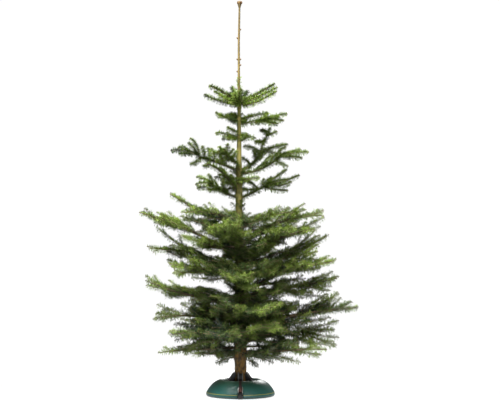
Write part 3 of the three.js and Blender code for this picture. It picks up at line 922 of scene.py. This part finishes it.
def grow_bough(bough, rng, shoots, axes):
    """The woody axis from the trunk to the tip, a whorl of side shoots at each year's end."""
    line = bough.axis.copy()
    run = run_of(line)
    total = run[-1]
    sway = rng.uniform(-0.02, 0.02) * total / 0.4
    across = np.array([-math.sin(bough.azimuth), math.cos(bough.azimuth), 0])
    line += across * (np.sin(run / total * math.pi) * sway)[:, None]
    years = max(2, int(round(total / AXIS_YEAR)))
    marks = np.linspace(0, 1, years + 1)
    marks[1:-1] += rng.normal(0, 0.10 / years, years - 1)
    axes.append((line, 2 * TIP_RADIUS + BOUGH_TAPER * total, AXIS_RADII[1]))
    bough.wood = line
    at = lambda share: at_run(share * total, run, line)
    for i in range(years):
        age = years - 1 - i
        inner, outer = marks[i], marks[i + 1]
        count = max(4, int((outer - inner) * total / 0.014))
        piece = at(np.linspace(inner, outer, count))
        middle = piece[len(piece) // 2]
        distance = float(np.linalg.norm(middle[:2] - bough.base))
        inside = bough.middle(middle[0], middle[1]) is not None
        if distance > trunk.radius(middle[2]) + 0.02 and (inside or not bough.limb):
            kind = spray_kind(bough, min(age, 3), distance, 0.0, rng)
            clad = max(0.15, 1.0 - 0.16 * age)
            shoots.append(Shoot(piece, *AXIS_RADII, 0, kind, clad, age == 0))
        whorl = piece[-1]
        if age == 0 or (bough.limb and bough.middle(whorl[0], whorl[1]) is None):
            continue
        remaining = total * (1 - outer)
        for side in (-1, 1):
            heading = bough.azimuth + side * FORK_ANGLE * rng.uniform(0.88, 1.08)
            limit = (WHORL_REACH[0] * remaining + WHORL_REACH[1]) * rng.uniform(0.85, 1.1)
            grow_side(bough, whorl, heading, limit, 1, rng.uniform(-1.0, 1.1), rng, shoots, side)
        for k in range(RUNNERS if remaining > 0.5 * total else 0):
            side = (-1, 1)[k % 2]
            heading = bough.azimuth + side * math.radians(rng.uniform(*RUNNER_ANGLE))
            limit = remaining * rng.uniform(*RUNNER_REACH)
            lift = rng.uniform(*RUNNER_LIFT) * rng.choice([-1, 1])
            grow_side(bough, whorl, heading, limit, 1, lift, rng, shoots, side, RUNNER_TURN)
        for _ in range(rng.integers(1, 3)):
            side = rng.choice([-1, 1])
            start = at(inner + (outer - inner) * rng.uniform(0.25, 0.8))
            heading = bough.azimuth + side * FORK_ANGLE * rng.uniform(0.75, 1.15)
            limit = (BETWEEN_REACH[0] * remaining + BETWEEN_REACH[1]) * rng.uniform(0.7, 1.1)
            grow_side(bough, start, heading, limit, 2, rng.uniform(-0.8, 0.9), rng, shoots, side)


def through(first, middle, last, count):
    """Points along the parabola through three points."""
    share = np.linspace(0, 1, count)[:, None]
    control = 2 * middle - (first + last) / 2
    return (1 - share) ** 2 * first + 2 * share * (1 - share) * control + share ** 2 * last


def grow_upper(bough, rng, shoots, axes):
    """A bough of the open upper crown, from its table of shoots."""
    like, size = UPPER_LIKE.get(bough.key, (bough.key, 1.0))
    heading = outward(bough.azimuth)
    across = np.array([-heading[1], heading[0], 0])
    slant = 1.0 if bough.key in UPPER_LIKE else abs(heading[0])
    node = bough.axis[0]
    for k, row in enumerate(UPPER_SHOOTS[like]):
        ends = [node + size * MM * (heading * out / slant + across * aside + [0, 0, up])
                for out, up, aside in zip(row[0::3], row[1::3], row[2::3])]
        length = float(np.linalg.norm(ends[1] - ends[0]) + np.linalg.norm(ends[2] - ends[1]))
        line = through(*ends, max(5, int(length / AXIS_STEP)))
        kind = rng.choice(list(UPPER_KINDS), p=list(UPPER_KINDS.values()))
        years = max(1, int(round(length / AXIS_YEAR)))
        if k == 0 and length > 0.12:
            axes.append((line, TIP_RADIUS + UPPER_TAPER * length, 2 * TIP_RADIUS))
            kind = "bright"
        kind_of = lambda age, place: kind
        add_years(line, years, TIP_RADIUS + FREE_TAPER * length, 1, kind_of, shoots,
                  (UPPER_CLAD,), UPPER_NEEDLE)


def free_line(start, azimuth, length, rise, bend):
    """A line that leaves at one slope and bends up or down along its length."""
    count = points_in(length)
    share = np.linspace(0, 1, count)
    slope = rise + bend * share
    step = length / (count - 1)
    out = np.concatenate([[0], np.cumsum(np.cos(slope[:-1]) * step)])
    up = np.concatenate([[0], np.cumsum(np.sin(slope[:-1]) * step)])
    points = np.empty((count, 3))
    points[:, 0] = start[0] + math.cos(azimuth) * out
    points[:, 1] = start[1] + math.sin(azimuth) * out
    points[:, 2] = start[2] + up
    return points


def core_kind(age, rng):
    """Inner boughs are dark, as painted shade inside the crown, but for their outer ends."""
    return ("bright", "mid", "dark", "dark")[min(3, age + int(rng.random() < 0.5))]


def low_kind(age, rng):
    """Drooping shoots show some of the needles' pale undersides."""
    return "pale" if rng.random() < PALE_SHARE else core_kind(age, rng)


def finger_kind(age, rng):
    return ("fresh", "bright", "bright", "mid")[min(3, age + int(rng.random() < 0.45))]


def grow_free(start, azimuth, length, rise, bend, order, rng, shoots, axes=None,
              kind=core_kind, clads=CORE_CLAD, sides=CORE_SIDES):
    """A small bough or a finger, with its side shoots."""
    line = free_line(start, azimuth, length, rise, bend)
    if kind is not finger_kind:
        line = cut_at_opening(line)
        if len(line) < 3:
            return
    years = max(1, int(round(length / SIDE_YEAR)))
    if axes is not None:
        axes.append((line, TIP_RADIUS + CORE_TAPER * length, TIP_RADIUS))
    thick = TIP_RADIUS + FREE_TAPER * length
    kind_of = lambda age, place: kind(age, rng)
    pieces = add_years(line, years, thick, order, kind_of, shoots, clads)
    if order >= 3:
        return
    for i, piece in enumerate(pieces[:-1]):
        remaining = length * (1 - (i + 1) / len(pieces))
        for side in (-1, 1):
            fork = heading_of(piece) + side * FORK_ANGLE * rng.uniform(*FORK_SPREAD)
            if rng.random() < sides[0]:
                reach = (sides[1] * remaining + 0.03) * rng.uniform(*REACH_SPREAD)
                grow_free(piece[-1], fork, reach, rise + rng.normal(0.05, 0.15), bend, order + 1,
                          rng, shoots, None, kind, clads, sides)


def grow_fingers(rng, shoots):
    """Shoots from the boughs' wood that end at the crown's free tips and near lobes."""
    tips = [(x, rng.uniform(-FINGER_DEPTH, FINGER_DEPTH) / MM, z) for x, z in SIDE_FINGERS]
    grown = [bough for bough in boughs if not bough.upper]
    uses = {bough.key: 0 for bough in grown}
    for tip in tips + NEAR_LOBES:
        slope = np.interp(tip[2], *FINGER_SLOPES)
        tip = np.array(tip) * MM
        best = None
        for bough in grown:
            heading = outward(bough.azimuth)[:2]
            for start in bough.wood[1:]:
                run = tip - start
                plan = np.linalg.norm(run[:2])
                if run[:2] @ heading < 0.5 * plan or plan < LEAST_FINGER:
                    continue
                rise = math.atan2(run[2], plan)
                cost = SLOPE_COST * abs(rise - slope) + RUN_COST * abs(plan - FINGER_RUN)
                cost += USE_COST * uses[bough.key]
                straight = start + run * np.linspace(0, 1, 8)[:, None]
                cost += SKY_COST * (len(cut_at_opening(straight)) < len(straight))
                if best is None or cost < best[0]:
                    best = (cost, bough.key, start, run, rise)
        _, key, start, run, rise = best
        uses[key] += 1
        bend = rng.uniform(0.10, 0.35)
        grow_free(start, math.atan2(run[1], run[0]), np.linalg.norm(run) + 0.004, rise - bend / 2,
                  bend, 1, rng, shoots, None, finger_kind, FINGER_CLAD, FINGER_SIDES)


def crown_radius(height):
    """The reach of the crown at a height: the furthest tip of the masses there."""
    here = [bough.reach for bough in boughs
            if bough.mass.box[0][2] - 0.05 < height < bough.mass.box[1][2] + 0.05]
    return float(np.mean(sorted(here)[-3:])) if here else 0.25


def in_sky(azimuth, height):
    """Whether a small bough would grow into the open wedge on the crown's left side."""
    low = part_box("foliage_w9_left")[1][2] - 0.13
    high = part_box("foliage_w8_near_left")[0][2] + 0.03
    return low < height < high and math.cos(azimuth) < -0.15


def grow_core(rng, shoots, axes):
    """Internodal boughs that fill the crown round the trunk."""
    low, high = CORE_BAND
    for k in range(CORE_BOUGHS):
        height = low + (high - low) * ((k + rng.random()) / CORE_BOUGHS)
        azimuth = k * GOLDEN_ANGLE + rng.normal(0, 0.2)
        if in_sky(azimuth, height):
            continue
        length = crown_radius(height) * rng.uniform(*CORE_REACH)
        rise, bend = rng.uniform(0.0, 0.4), rng.uniform(-0.15, 0.35)
        grow_free(trunk.centre(height), azimuth, length, rise, bend, 1, rng, shoots, axes)


def grow_low_shoots(rng, shoots, axes):
    """Thin drooping growth under the lowest boughs."""
    for height, azimuth, length, rise, bend in LOW_BOUGHS:
        grow_free(trunk.centre(height), math.radians(azimuth), length, rise, bend, 1,
                  rng, shoots, axes, low_kind)
    low, high = LOW_FINE_BAND
    for k in range(LOW_FINE):
        height = low + (high - low) * (k + rng.random()) / LOW_FINE
        azimuth = k * GOLDEN_ANGLE + rng.normal(0, 0.2)
        length = rng.uniform(*LOW_FINE_REACH)
        rise, bend = rng.uniform(-0.1, 0.3), rng.uniform(-0.5, -0.1)
        grow_free(trunk.centre(height), azimuth, length, rise, bend, 1, rng, shoots, axes)


def grow_stem_shoots(rng, shoots):
    """Short shoots at the nodes of the bare upper stem, and the leader's own needles."""
    for low, high, clad in STEM_NEEDLES:
        heights = np.linspace(low, high, max(4, int((high - low) / 0.02)))
        line = np.array([trunk.centre(z) for z in heights])
        shoots.append(Shoot(line, trunk.radius(low), trunk.radius(high), 0, "fresh", clad,
                            upright=True))
    for height, count, length in STEM_NODES:
        for k in range(count):
            azimuth = k * GOLDEN_ANGLE + height * 40
            grow_free(trunk.centre(height + rng.normal(0, 0.004)), azimuth,
                      length * rng.uniform(0.7, 1.2), rng.uniform(0.2, 0.9), 0.3, 3, rng, shoots)


# ---------------------------------------------------------------- needles, twigs and buds


def needle_arrays(shoots, density, rng):
    """Folded, pointed blades round every shoot of one kind: dense above and at the sides."""
    rows = []
    for shoot in shoots:
        count = int(shoot.length * density * shoot.clad)
        if count < 1:
            continue
        share = (np.arange(count) + rng.random(count)) / count
        run = run_of(shoot.points)
        place = at_run(share * run[-1], run, shoot.points)
        tangent = at_run(share * run[-1], run, directions(shoot.points))
        radius = shoot.thick + (shoot.thin - shoot.thick) * share
        end = np.full(count, 1.0)
        if shoot.tip:
            end = 1.0 - 0.45 * np.clip((share - 0.8) / 0.2, 0, 1)
        rows.append((place, tangent, radius, end * shoot.size, np.full(count, shoot.upright)))
    place, tangent, radius, end, upright = [np.concatenate(column) for column in zip(*rows)]
    count = len(place)
    tangent = unit_rows(tangent)
    up = np.where(upright[:, None], [0.0, -1.0, 0.0], [0.0, 0.0, 1.0])
    up = up + rng.normal(0, 0.12, (count, 3))
    side = unit_rows(np.cross(tangent, up))
    over = np.cross(side, tangent)
    # Angle round the twig: 0 is straight up, a quarter turn is level. Few needles hang below, but
    # for the strays, which are longer and stand out from the close coat of the rest.
    stray = rng.random(count) < STRAY_SHARE
    turn = np.radians(rng.uniform(-1, 1, count) * np.where(upright | stray, TURN_ALL, TURN_MOST))
    out = np.cos(turn)[:, None] * over + np.sin(turn)[:, None] * side
    level = np.where(upright, 0, np.abs(np.sin(turn)))
    lean = np.radians(rng.normal(*NEEDLE_LEAN, count) + SIDE_LEAN * level - STEM_LEAN * upright
                      + STRAY_LEAN * stray)
    aim = unit_rows(np.cos(lean)[:, None] * tangent + np.sin(lean)[:, None] * out)
    length = (NEEDLE_LENGTH * (TOP_LENGTH + SIDE_LENGTH * level) * rng.uniform(0.82, 1.12, count)
              * end * np.where(stray, *STRAY_LENGTH))
    flat = unit_rows(np.cross(aim, up), 1e-6) + rng.normal(0, 0.22, (count, 3))
    flat -= aim * np.sum(flat * aim, axis=1, keepdims=True)
    flat = unit_rows(flat, 1e-6)
    fold = np.cross(flat, aim)
    width = NEEDLE_WIDTH * rng.uniform(0.85, 1.15, count)
    base = place + out * radius[:, None]
    tip = base + aim * length[:, None]
    belly = base + aim * (0.52 * length)[:, None] + fold * (0.22 * width)[:, None]
    half = flat * (0.5 * width)[:, None]
    vertices = np.stack([base, belly - half, tip, belly + half], axis=1).reshape(-1, 3)
    first = np.arange(count)[:, None] * 4
    return vertices, np.concatenate([first + [0, 1, 2], first + [0, 2, 3]], axis=1).reshape(-1, 3)


def twig_arrays(shoots):
    parts = []
    for shoot in shoots:
        keep = np.unique(np.round(np.linspace(0, len(shoot.points) - 1, 4)).astype(int))
        points = shoot.points[keep]
        radii = np.linspace(shoot.thick, shoot.thin, len(points))
        sides = 5 if shoot.order <= 1 else 3
        parts.append(tube_arrays(points, radii, sides))
    return join_arrays(parts)


def bud_tube(base, aim, size):
    along, wide = BUD_RINGS
    line = base + np.outer(along, aim / np.linalg.norm(aim) * size)
    return tube_arrays(line, np.array(wide) * size, 4)


def leader_buds(rng):
    """Side buds up the bare leader, and the crown of buds round its tip."""
    parts = []
    for height, azimuth in LEADER_BUDS:
        out = outward(math.radians(azimuth))
        base = trunk.centre(height) + out * trunk.radius(height) * 0.8
        parts.append(bud_tube(base, out + [0, 0, 0.7], SIDE_BUD))
    top = trunk.heights[-1]
    for k in range(TIP_BUDS):
        out = outward(2 * math.pi * k / TIP_BUDS)
        base = trunk.centre(top - 0.020 + 0.003 * rng.random()) + out * 0.006
        parts.append(bud_tube(base, out * 0.35 + [0, 0, 1.0], TIP_BUD))
    return parts


def bud_arrays(shoots, rng):
    """A resinous bud at each living tip, with two smaller ones beside it."""
    parts = leader_buds(rng)
    for shoot in shoots:
        if not shoot.tip:
            continue
        tangent = directions(shoot.points)[-1]
        tip = shoot.points[-1]
        side = np.cross(tangent, [0, 0, 1])
        side /= np.linalg.norm(side)
        for offset, size in SHOOT_BUDS[:1] if shoot.order > 2 else SHOOT_BUDS:
            parts.append(bud_tube(tip, tangent + side * offset + rng.normal(0, 0.08, 3), size))
    return join_arrays(parts)


# ---------------------------------------------------------------- whole plant

rng = np.random.default_rng(SEED)
foliage_nodes = sorted(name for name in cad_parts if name.startswith("foliage_"))
limb_nodes = sorted(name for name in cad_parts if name.startswith("bough_"))
boughs = [Bough(name[len("foliage_"):]) for name in foliage_nodes]

shoots = []
axes = []
for bough in boughs:
    grow = grow_upper if bough.upper else grow_bough
    grow(bough, rng, shoots, axes)
grow_fingers(rng, shoots)
grow_core(rng, shoots, axes)
grow_low_shoots(rng, shoots, axes)
grow_stem_shoots(rng, shoots)

total_length = sum(shoot.length * shoot.clad for shoot in shoots)
needles_per_metre = NEEDLE_BUDGET / total_length
print(f"{len(shoots)} shoots, {total_length:.1f} m clad, {needles_per_metre:.0f} needles a metre")


def build_needles():
    first = True
    for kind in SPRAY_COLORS:
        sprays = [shoot for shoot in shoots if shoot.spray == kind]
        if not sprays:
            continue
        vertices, triangles = needle_arrays(sprays, needles_per_metre, rng)
        material = needle_material(kind)
        count = len(triangles) // 2
        pieces = int(math.ceil(count / PIECE_NEEDLES))
        for i in range(pieces):
            a, b = [int(count * share) for share in (i / pieces, (i + 1) / pieces)]
            slot = "needles_bright" if kind == "fresh" else f"needles_{kind}"
            part = (vertices[4 * a:4 * b], triangles[2 * a:2 * b] - 4 * a)
            add_piece(f"needles_{kind}_{i + 1}", part, material, slot,
                      *(foliage_nodes if first else []))
            first = False


def build_limbs():
    parts = []
    for line, root, tip in axes:
        radii = np.linspace(1, 0, len(line)) ** 0.8 * (root - tip) + tip
        parts.append(tube_arrays(line, radii, 9))
    add_piece("limbs", join_arrays(parts), limb_bark, "limb_bark", *limb_nodes, smooth=True)


def build_trunk():
    """Trunk and leader with the bark's relief, swollen where a whorl leaves it."""
    low, high = trunk.heights[0], trunk.heights[-1]
    heights = np.arange(low, high, TRUNK_STEP)
    nodes_at = sorted(float(line[0][2]) for line, _, _ in axes)
    across, along = BARK_GRAIN
    vertices = []
    for z in heights:
        centre, radius = trunk.centre(z), trunk.radius(z)
        swell = sum(NODE_SWELL * math.exp(-((z - h) / NODE_RUN) ** 2) for h in nodes_at)
        radius *= 1 + min(MOST_SWELL, swell)
        for k in range(TRUNK_SIDES):
            turn = 2 * math.pi * k / TRUNK_SIDES
            ray = Vector((math.cos(turn), math.sin(turn), 0))
            spot = Vector((ray.x * radius * across, ray.y * radius * across, z * along))
            rough = noise.fractal(spot * 2.2, 0.6, 2.0, 4) * BARK_RELIEF * radius
            if LEADER_FOOT < z < high - 0.03:
                bump = noise.noise(Vector((ray.x * 2, ray.y * 2, z * KNOB_GRAIN)))
                rough += LEADER_KNOBS * (1 + 0.7 * bump)
            vertices.append((centre[0] + ray.x * (radius + rough),
                             centre[1] + ray.y * (radius + rough), z))
    index, after, quads = ring_quads(len(heights), TRUNK_SIDES)
    vertices += [tuple(trunk.centre(low)), (*trunk.centre(high)[:2], high)]
    faces = np.concatenate([split_quads(quads), fan(after[0], index[0], index.size),
                            fan(index[-1], after[-1], index.size + 1)])
    add_piece("trunk_stem", (vertices, faces), trunk_bark, "trunk_bark", "trunk", smooth=True)


trunk_bark = trunk_material()
limb_bark = limb_material()
bud_brown = new_material("bud_brown", (0.125, 0.066, 0.024), 0.45)
twig_bark = new_material("twig_bark", (0.13, 0.095, 0.045), 0.75)

build_trunk()
build_limbs()
build_needles()
add_piece("twigs", twig_arrays(shoots), twig_bark, "limb_bark")
add_piece("buds", bud_arrays(shoots, rng), bud_brown, "bud_brown")

# ---------------------------------------------------------------- stand

# The shell's outside and the roll of its lip into the mouth: (radius, height) in millimetres.
SHELL_OUTSIDE = [
    (160, 0), (165.5, 1), (170, 4), (172, 9.5), (171.2, 16), (168.2, 24), (160, 38), (149, 52),
    (135.5, 65.5), (121, 74.8), (110.5, 79.8), (102.5, 82.7), (95.5, 82.2), (88.5, 78),
    (82.5, 72), (78.8, 65),
]
SHELL_THICK = 3.2 * MM
SLOT_HALF = 13.5 * MM
SLOT_TOP = 60 * MM
STRIPE = (18.5 * MM, 21.7 * MM)

# Side outlines of the claws, bracket, latch and pedal: (radius, height) in millimetres. Widths,
# the cheeks' offsets and the ribs' and treads' places are in millimetres too.
CLAW_OUTLINE = [
    (62, 53.4), (74, 53.4), (76, 60), (76.3, 67.5), (72, 73), (66, 78), (53, 93), (41, 111),
    (35.5, 117), (31, 119), (29.6, 118), (29.6, 96), (36, 87), (48, 73.5), (57, 62),
]
CLAW_COUNT = 5
CLAW_WIDTH = 26
CLAW_FLANGE = 4.5
CLAW_RIBS = ((64, 65), (69, 69))
BRACKET_OUTLINE = [
    (122, 6.5), (142, 6.5), (142, 31.5), (165.5, 31.5), (159, 43), (151, 52), (146, 58),
    (138, 59), (131, 56),
]
BRACKET_BACK = [(122, 7), (126, 7), (144, 32), (144, 57), (131, 56)]
CHEEK_WIDTH = 3.2
CHEEK_ASIDE = 10.9
LATCH_OUTLINE = [(144.5, 34), (157, 34), (158, 40), (153, 48), (147, 56), (144.5, 56)]
PEDAL_OUTLINE = [
    (148, 7), (154, 2.5), (190, 2.5), (195, 6), (196.3, 12), (195, 20), (190, 24.5), (182, 28),
    (170, 30.4), (148, 30.6),
]
PEDAL_WIDTH = 23
PEDAL_TREADS = (172, 178, 184, 190)
TREAD_WIDTH = 19
STRAP_WIDTH = 13


def smooth_curve(points, count):
    """Points evenly spread along a smooth curve through the given ones."""
    points = np.array(points, dtype=float)
    padded = np.concatenate([[2 * points[0] - points[1]], points, [2 * points[-1] - points[-2]]])
    curve = []
    for share in np.linspace(0, len(points) - 1 - 1e-9, count):
        i, t = int(share), share - int(share)
        a, b, c, d = padded[i:i + 4]
        curve.append(0.5 * (2 * b + (c - a) * t + (2 * a - 5 * b + 4 * c - d) * t ** 2
                            + (3 * b - a - 3 * c + d) * t ** 3))
    return np.array(curve)


def revolve_arrays(profile, low, high, segments):
    """A closed (radius, height) profile swept about the axis from one azimuth to another."""
    turns = np.linspace(low, high, segments + 1)
    rows, columns = len(turns), len(profile)
    vertices = np.empty((rows, columns, 3))
    vertices[:, :, 0] = np.cos(turns)[:, None] * profile[None, :, 0]
    vertices[:, :, 1] = np.sin(turns)[:, None] * profile[None, :, 0]
    vertices[:, :, 2] = profile[None, :, 1]
    return vertices.reshape(-1, 3), ring_quads(rows, columns)[2][:, [0, 3, 2, 1]]


def plate(outline, width, offset=0.0, bevel=0.7, side=0, rim=0):
    """A bevelled plate with a side outline in millimetres, on the azimuth of -Y.

    `side` and `rim` are the material slots of its flat sides and of its edge."""
    mesh = bmesh.new()
    near = [mesh.verts.new(((offset - width / 2) * MM, -r * MM, z * MM)) for r, z in outline]
    far = [mesh.verts.new(((offset + width / 2) * MM, -r * MM, z * MM)) for r, z in outline]
    count = len(outline)
    mesh.faces.new(near)
    mesh.faces.new(far[::-1])
    for i in range(count):
        j = (i + 1) % count
        mesh.faces.new((near[j], near[i], far[i], far[j]))
    bmesh.ops.recalc_face_normals(mesh, faces=mesh.faces)
    if bevel:
        edges = [edge for edge in mesh.edges if edge.calc_face_angle(0) > 0.35]
        bmesh.ops.bevel(mesh, geom=edges, offset=bevel * MM, segments=2, profile=0.7,
                        affect="EDGES", clamp_overlap=True)
    for face in mesh.faces:
        face.normal_update()
        face.material_index = rim if abs(face.normal.x) < 0.72 else side
    return mesh


def oblong(near, low, far, high):
    return [(near, low), (far, low), (far, high), (near, high)]


def shrink(outline, amount):
    """An outline moved in on its own middle by about an amount."""
    points = np.array(outline, dtype=float)
    middle = points.mean(axis=0)
    away = points - middle
    reach = np.linalg.norm(away, axis=1, keepdims=True)
    return [tuple(p) for p in middle + away * np.maximum(0.2, 1 - amount / reach)]


def object_of(name, pieces, *materials, turn=0.0):
    """One object from several small meshes, turned about the axis."""
    whole = bmesh.new()
    for piece in pieces:
        scratch = bpy.data.meshes.new("scratch")
        piece.to_mesh(scratch)
        whole.from_mesh(scratch)
        piece.free()
        bpy.data.meshes.remove(scratch)
    bmesh.ops.rotate(whole, verts=whole.verts, cent=(0, 0, 0),
                     matrix=Matrix.Rotation(turn, 3, "Z"))
    mesh = bpy.data.meshes.new(name)
    whole.to_mesh(mesh)
    whole.free()
    for material in materials:
        mesh.materials.append(material)
    return add_object(name, mesh)


def cut_slot(piece):
    """The upright slot in the shell's near side, with a softened edge."""
    opening = plate(oblong(126, -5, 190, SLOT_TOP / MM), 2 * SLOT_HALF / MM, bevel=3)
    cutter = object_of("slot", [opening], shell_green)
    carve = piece.modifiers.new("slot", "BOOLEAN")
    carve.operation = "DIFFERENCE"
    carve.solver = "EXACT"
    carve.object = cutter
    evaluated = piece.evaluated_get(bpy.context.evaluated_depsgraph_get())
    mesh = bpy.data.meshes.new_from_object(evaluated)
    piece.modifiers.clear()
    piece.data = mesh
    bpy.data.objects.remove(cutter)


def build_shell():
    outside = smooth_curve(SHELL_OUTSIDE, 70) * MM
    run = np.gradient(outside, axis=0)
    normal = np.stack([run[:, 1], -run[:, 0]], axis=1)
    normal /= np.linalg.norm(normal, axis=1, keepdims=True)
    inside = (outside - normal * SHELL_THICK)[::-1]
    inside[:, 1] = np.maximum(inside[:, 1], 0)
    ring = revolve_arrays(np.concatenate([outside, inside]), 0, 2 * math.pi, 128)
    shell = mesh_object("shell", *ring, shell_green, True)
    merge = bmesh.new()
    merge.from_mesh(shell.data)
    bmesh.ops.remove_doubles(merge, verts=merge.verts, dist=1e-6)
    bmesh.ops.recalc_face_normals(merge, faces=merge.faces)
    merge.to_mesh(shell.data)
    merge.free()
    cut_slot(shell)
    finish_piece(shell, "shell_green", "stand_shell")
    heights = np.linspace(*STRIPE, 6)
    band = np.interp(heights, outside[:30, 1], outside[:30, 0])
    face = np.stack([band + 0.5 * MM, heights], axis=1)
    back = np.stack([band - 0.6 * MM, heights], axis=1)[::-1]
    gap = math.asin((SLOT_HALF + 1.5 * MM) / band[0])
    start = -math.pi / 2 + gap
    ring = revolve_arrays(np.concatenate([face, back]), start, start + 2 * math.pi - 2 * gap, 120)
    add_piece("stripe", ring, stripe_olive, "stripe_olive", smooth=True)
    return outside


def build_claws():
    """Two flanges whose rims carry a painted highlight in a lighter grey, and a sunk web with ribs
    between them.
    """
    side = CLAW_WIDTH / 2 - CLAW_FLANGE / 2
    web = CLAW_WIDTH - 2 * CLAW_FLANGE
    for i in range(CLAW_COUNT):
        pieces = [
            plate(CLAW_OUTLINE, CLAW_FLANGE, -side, 1.3, 0, 1),
            plate(CLAW_OUTLINE, CLAW_FLANGE, side, 1.3, 0, 1),
            plate(shrink(CLAW_OUTLINE, 5.5), web + 0.6, 0, 0),
        ]
        for r, z in CLAW_RIBS:
            pieces.append(plate(oblong(r, z, r + 4, z + 3), web, 0, 0.4, 0, 1))
        claw = object_of(f"claw_{i + 1}", pieces, claw_black, claw_rim,
                         turn=2 * math.pi * i / CLAW_COUNT)
        finish_piece(claw, "black_plastic", f"stand_claw_{i + 1}")


def build_bracket():
    """Bright cheeks in the slot, a back plate darkened as painted shade, and the dark red latch
    between them.
    """
    pieces = [
        plate(BRACKET_OUTLINE, CHEEK_WIDTH, -CHEEK_ASIDE),
        plate(BRACKET_OUTLINE, CHEEK_WIDTH, CHEEK_ASIDE),
        plate(BRACKET_BACK, 19, 0, 0.3, 1, 1),
    ]
    bracket = object_of("bracket", pieces, bracket_metal, bracket_dark)
    finish_piece(bracket, "bracket_metal", "stand_bracket")
    latch = [plate(LATCH_OUTLINE, 9.5, 0, 1.6), plate(oblong(147, 37, 153, 43), 18, 0, 1.8)]
    finish_piece(object_of("latch", latch, latch_red), "latch_red")


def build_pedal():
    """The pedal with raised treads across its top."""
    pieces = [plate(PEDAL_OUTLINE, PEDAL_WIDTH, 0, 1.4)]
    top_side = np.array(PEDAL_OUTLINE[8:4:-1])
    for r in PEDAL_TREADS:
        top = np.interp(r, top_side[:, 0], top_side[:, 1])
        pieces.append(plate(oblong(r - 1.3, top - 2, r + 1.3, top + 0.9), TREAD_WIDTH, 0, 0.5))
    finish_piece(object_of("pedal", pieces, pedal_black), "black_plastic", "stand_pedal")


def build_strap(outside):
    """The strap from the mouth over the crest into the slot: a dark sheet of painted shade,
    standing for the slot's dark run up to the lip.
    """
    path = [(r / MM, z / MM) for r, z in outside[::-1] if z > SLOT_TOP - 3 * MM]
    upper = [(r, z + 1.6) for r, z in path]
    lower = [(r, z - 0.4) for r, z in path[::-1]]
    strap = object_of("strap", [plate(upper + lower, STRAP_WIDTH, 0, 0)], strap_dark)
    finish_piece(strap, "latch_red")


shell_green = shell_material()
stripe_olive = plastic_material("stripe_olive", (0.23, 0.23, 0.06), 0.45)
basin_green = plastic_material("basin_green", (0.006, 0.028, 0.022), 0.55)
claw_black = plastic_material("claw_black", (0.0075, 0.0075, 0.0085), 0.36)
# The claws' rims: a painted highlight in light grey on black plastic.
claw_rim = plastic_material("claw_rim", (0.115, 0.117, 0.115), 0.34)
pedal_black = plastic_material("pedal_black", (0.010, 0.010, 0.011), 0.36)
bracket_metal = plastic_material("bracket_metal", (0.55, 0.56, 0.55), 0.30, 0.12, Metallic=0.7)
# The bracket's back plate: painted shade, dark where it sits in the slot.
bracket_dark = plastic_material("bracket_dark", (0.030, 0.022, 0.020), 0.45)
latch_red = plastic_material("latch_red", (0.085, 0.026, 0.018), 0.4)
# The strap's colour: painted shade, near black.
strap_dark = plastic_material("strap_dark", (0.030, 0.012, 0.012), 0.5)

shell_outside = build_shell()
build_claws()
build_bracket()
build_pedal()
build_strap(shell_outside)
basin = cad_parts["stand_basin"].data
basin.materials.clear()
basin.materials.append(basin_green)

# ---------------------------------------------------------------- floor, light and camera


def add_floor():
    bpy.ops.mesh.primitive_circle_add(vertices=96, radius=FLOOR_RADIUS, fill_type="NGON",
                                      location=(0, 0, -0.0005))
    floor = bpy.context.object
    floor.name = "floor"
    table = new_material("light_table", (FLOOR_GREY,) * 3, 0.9,
                         Emission_Color=(1, 1, 1, 1), Emission_Strength=FLOOR_GLOW)
    floor.data.materials.append(table)


def add_area(name, place, target, size, power):
    light = bpy.data.lights.new(name, "AREA")
    light.shape = "DISK"
    light.size = size
    light.energy = power
    lamp = add_object(name, light)
    lamp.location = place
    lamp.rotation_euler = (Vector(target) - Vector(place)).to_track_quat("-Z", "Y").to_euler()


def add_world():
    """A white studio: bright behind the tree, dimmer as a light on it."""
    world = bpy.data.worlds.new("studio")
    bpy.context.scene.world = world
    world.use_nodes = True
    nodes, links = world.node_tree.nodes, world.node_tree.links
    path = nodes.new("ShaderNodeLightPath")
    level = nodes.new("ShaderNodeMapRange")
    level.inputs["To Min"].default_value = WORLD_LIGHT
    level.inputs["To Max"].default_value = WORLD_WHITE
    links.new(path.outputs["Is Camera Ray"], level.inputs["Value"])
    links.new(level.outputs["Result"], nodes["Background"].inputs["Strength"])
    nodes["Background"].inputs["Color"].default_value = (1, 1, 1, 1)


def add_camera():
    camera = bpy.data.cameras.new("camera")
    camera.sensor_width = SENSOR_WIDTH
    camera.lens = SENSOR_WIDTH * CAMERA_DISTANCE / FIELD_WIDTH
    camera.clip_end = 100
    holder = add_object("camera", camera)
    holder.location = (CAMERA_ASIDE, -CAMERA_DISTANCE, CAMERA_HEIGHT)
    holder.rotation_euler = (math.radians(90), 0, 0)
    bpy.context.scene.camera = holder


add_floor()
add_world()
for name, place, aim_height, size, power in LAMPS:
    add_area(name, place, (0, 0, aim_height), size, power)
add_camera()
bpy.context.scene.view_settings.view_transform = "Standard"
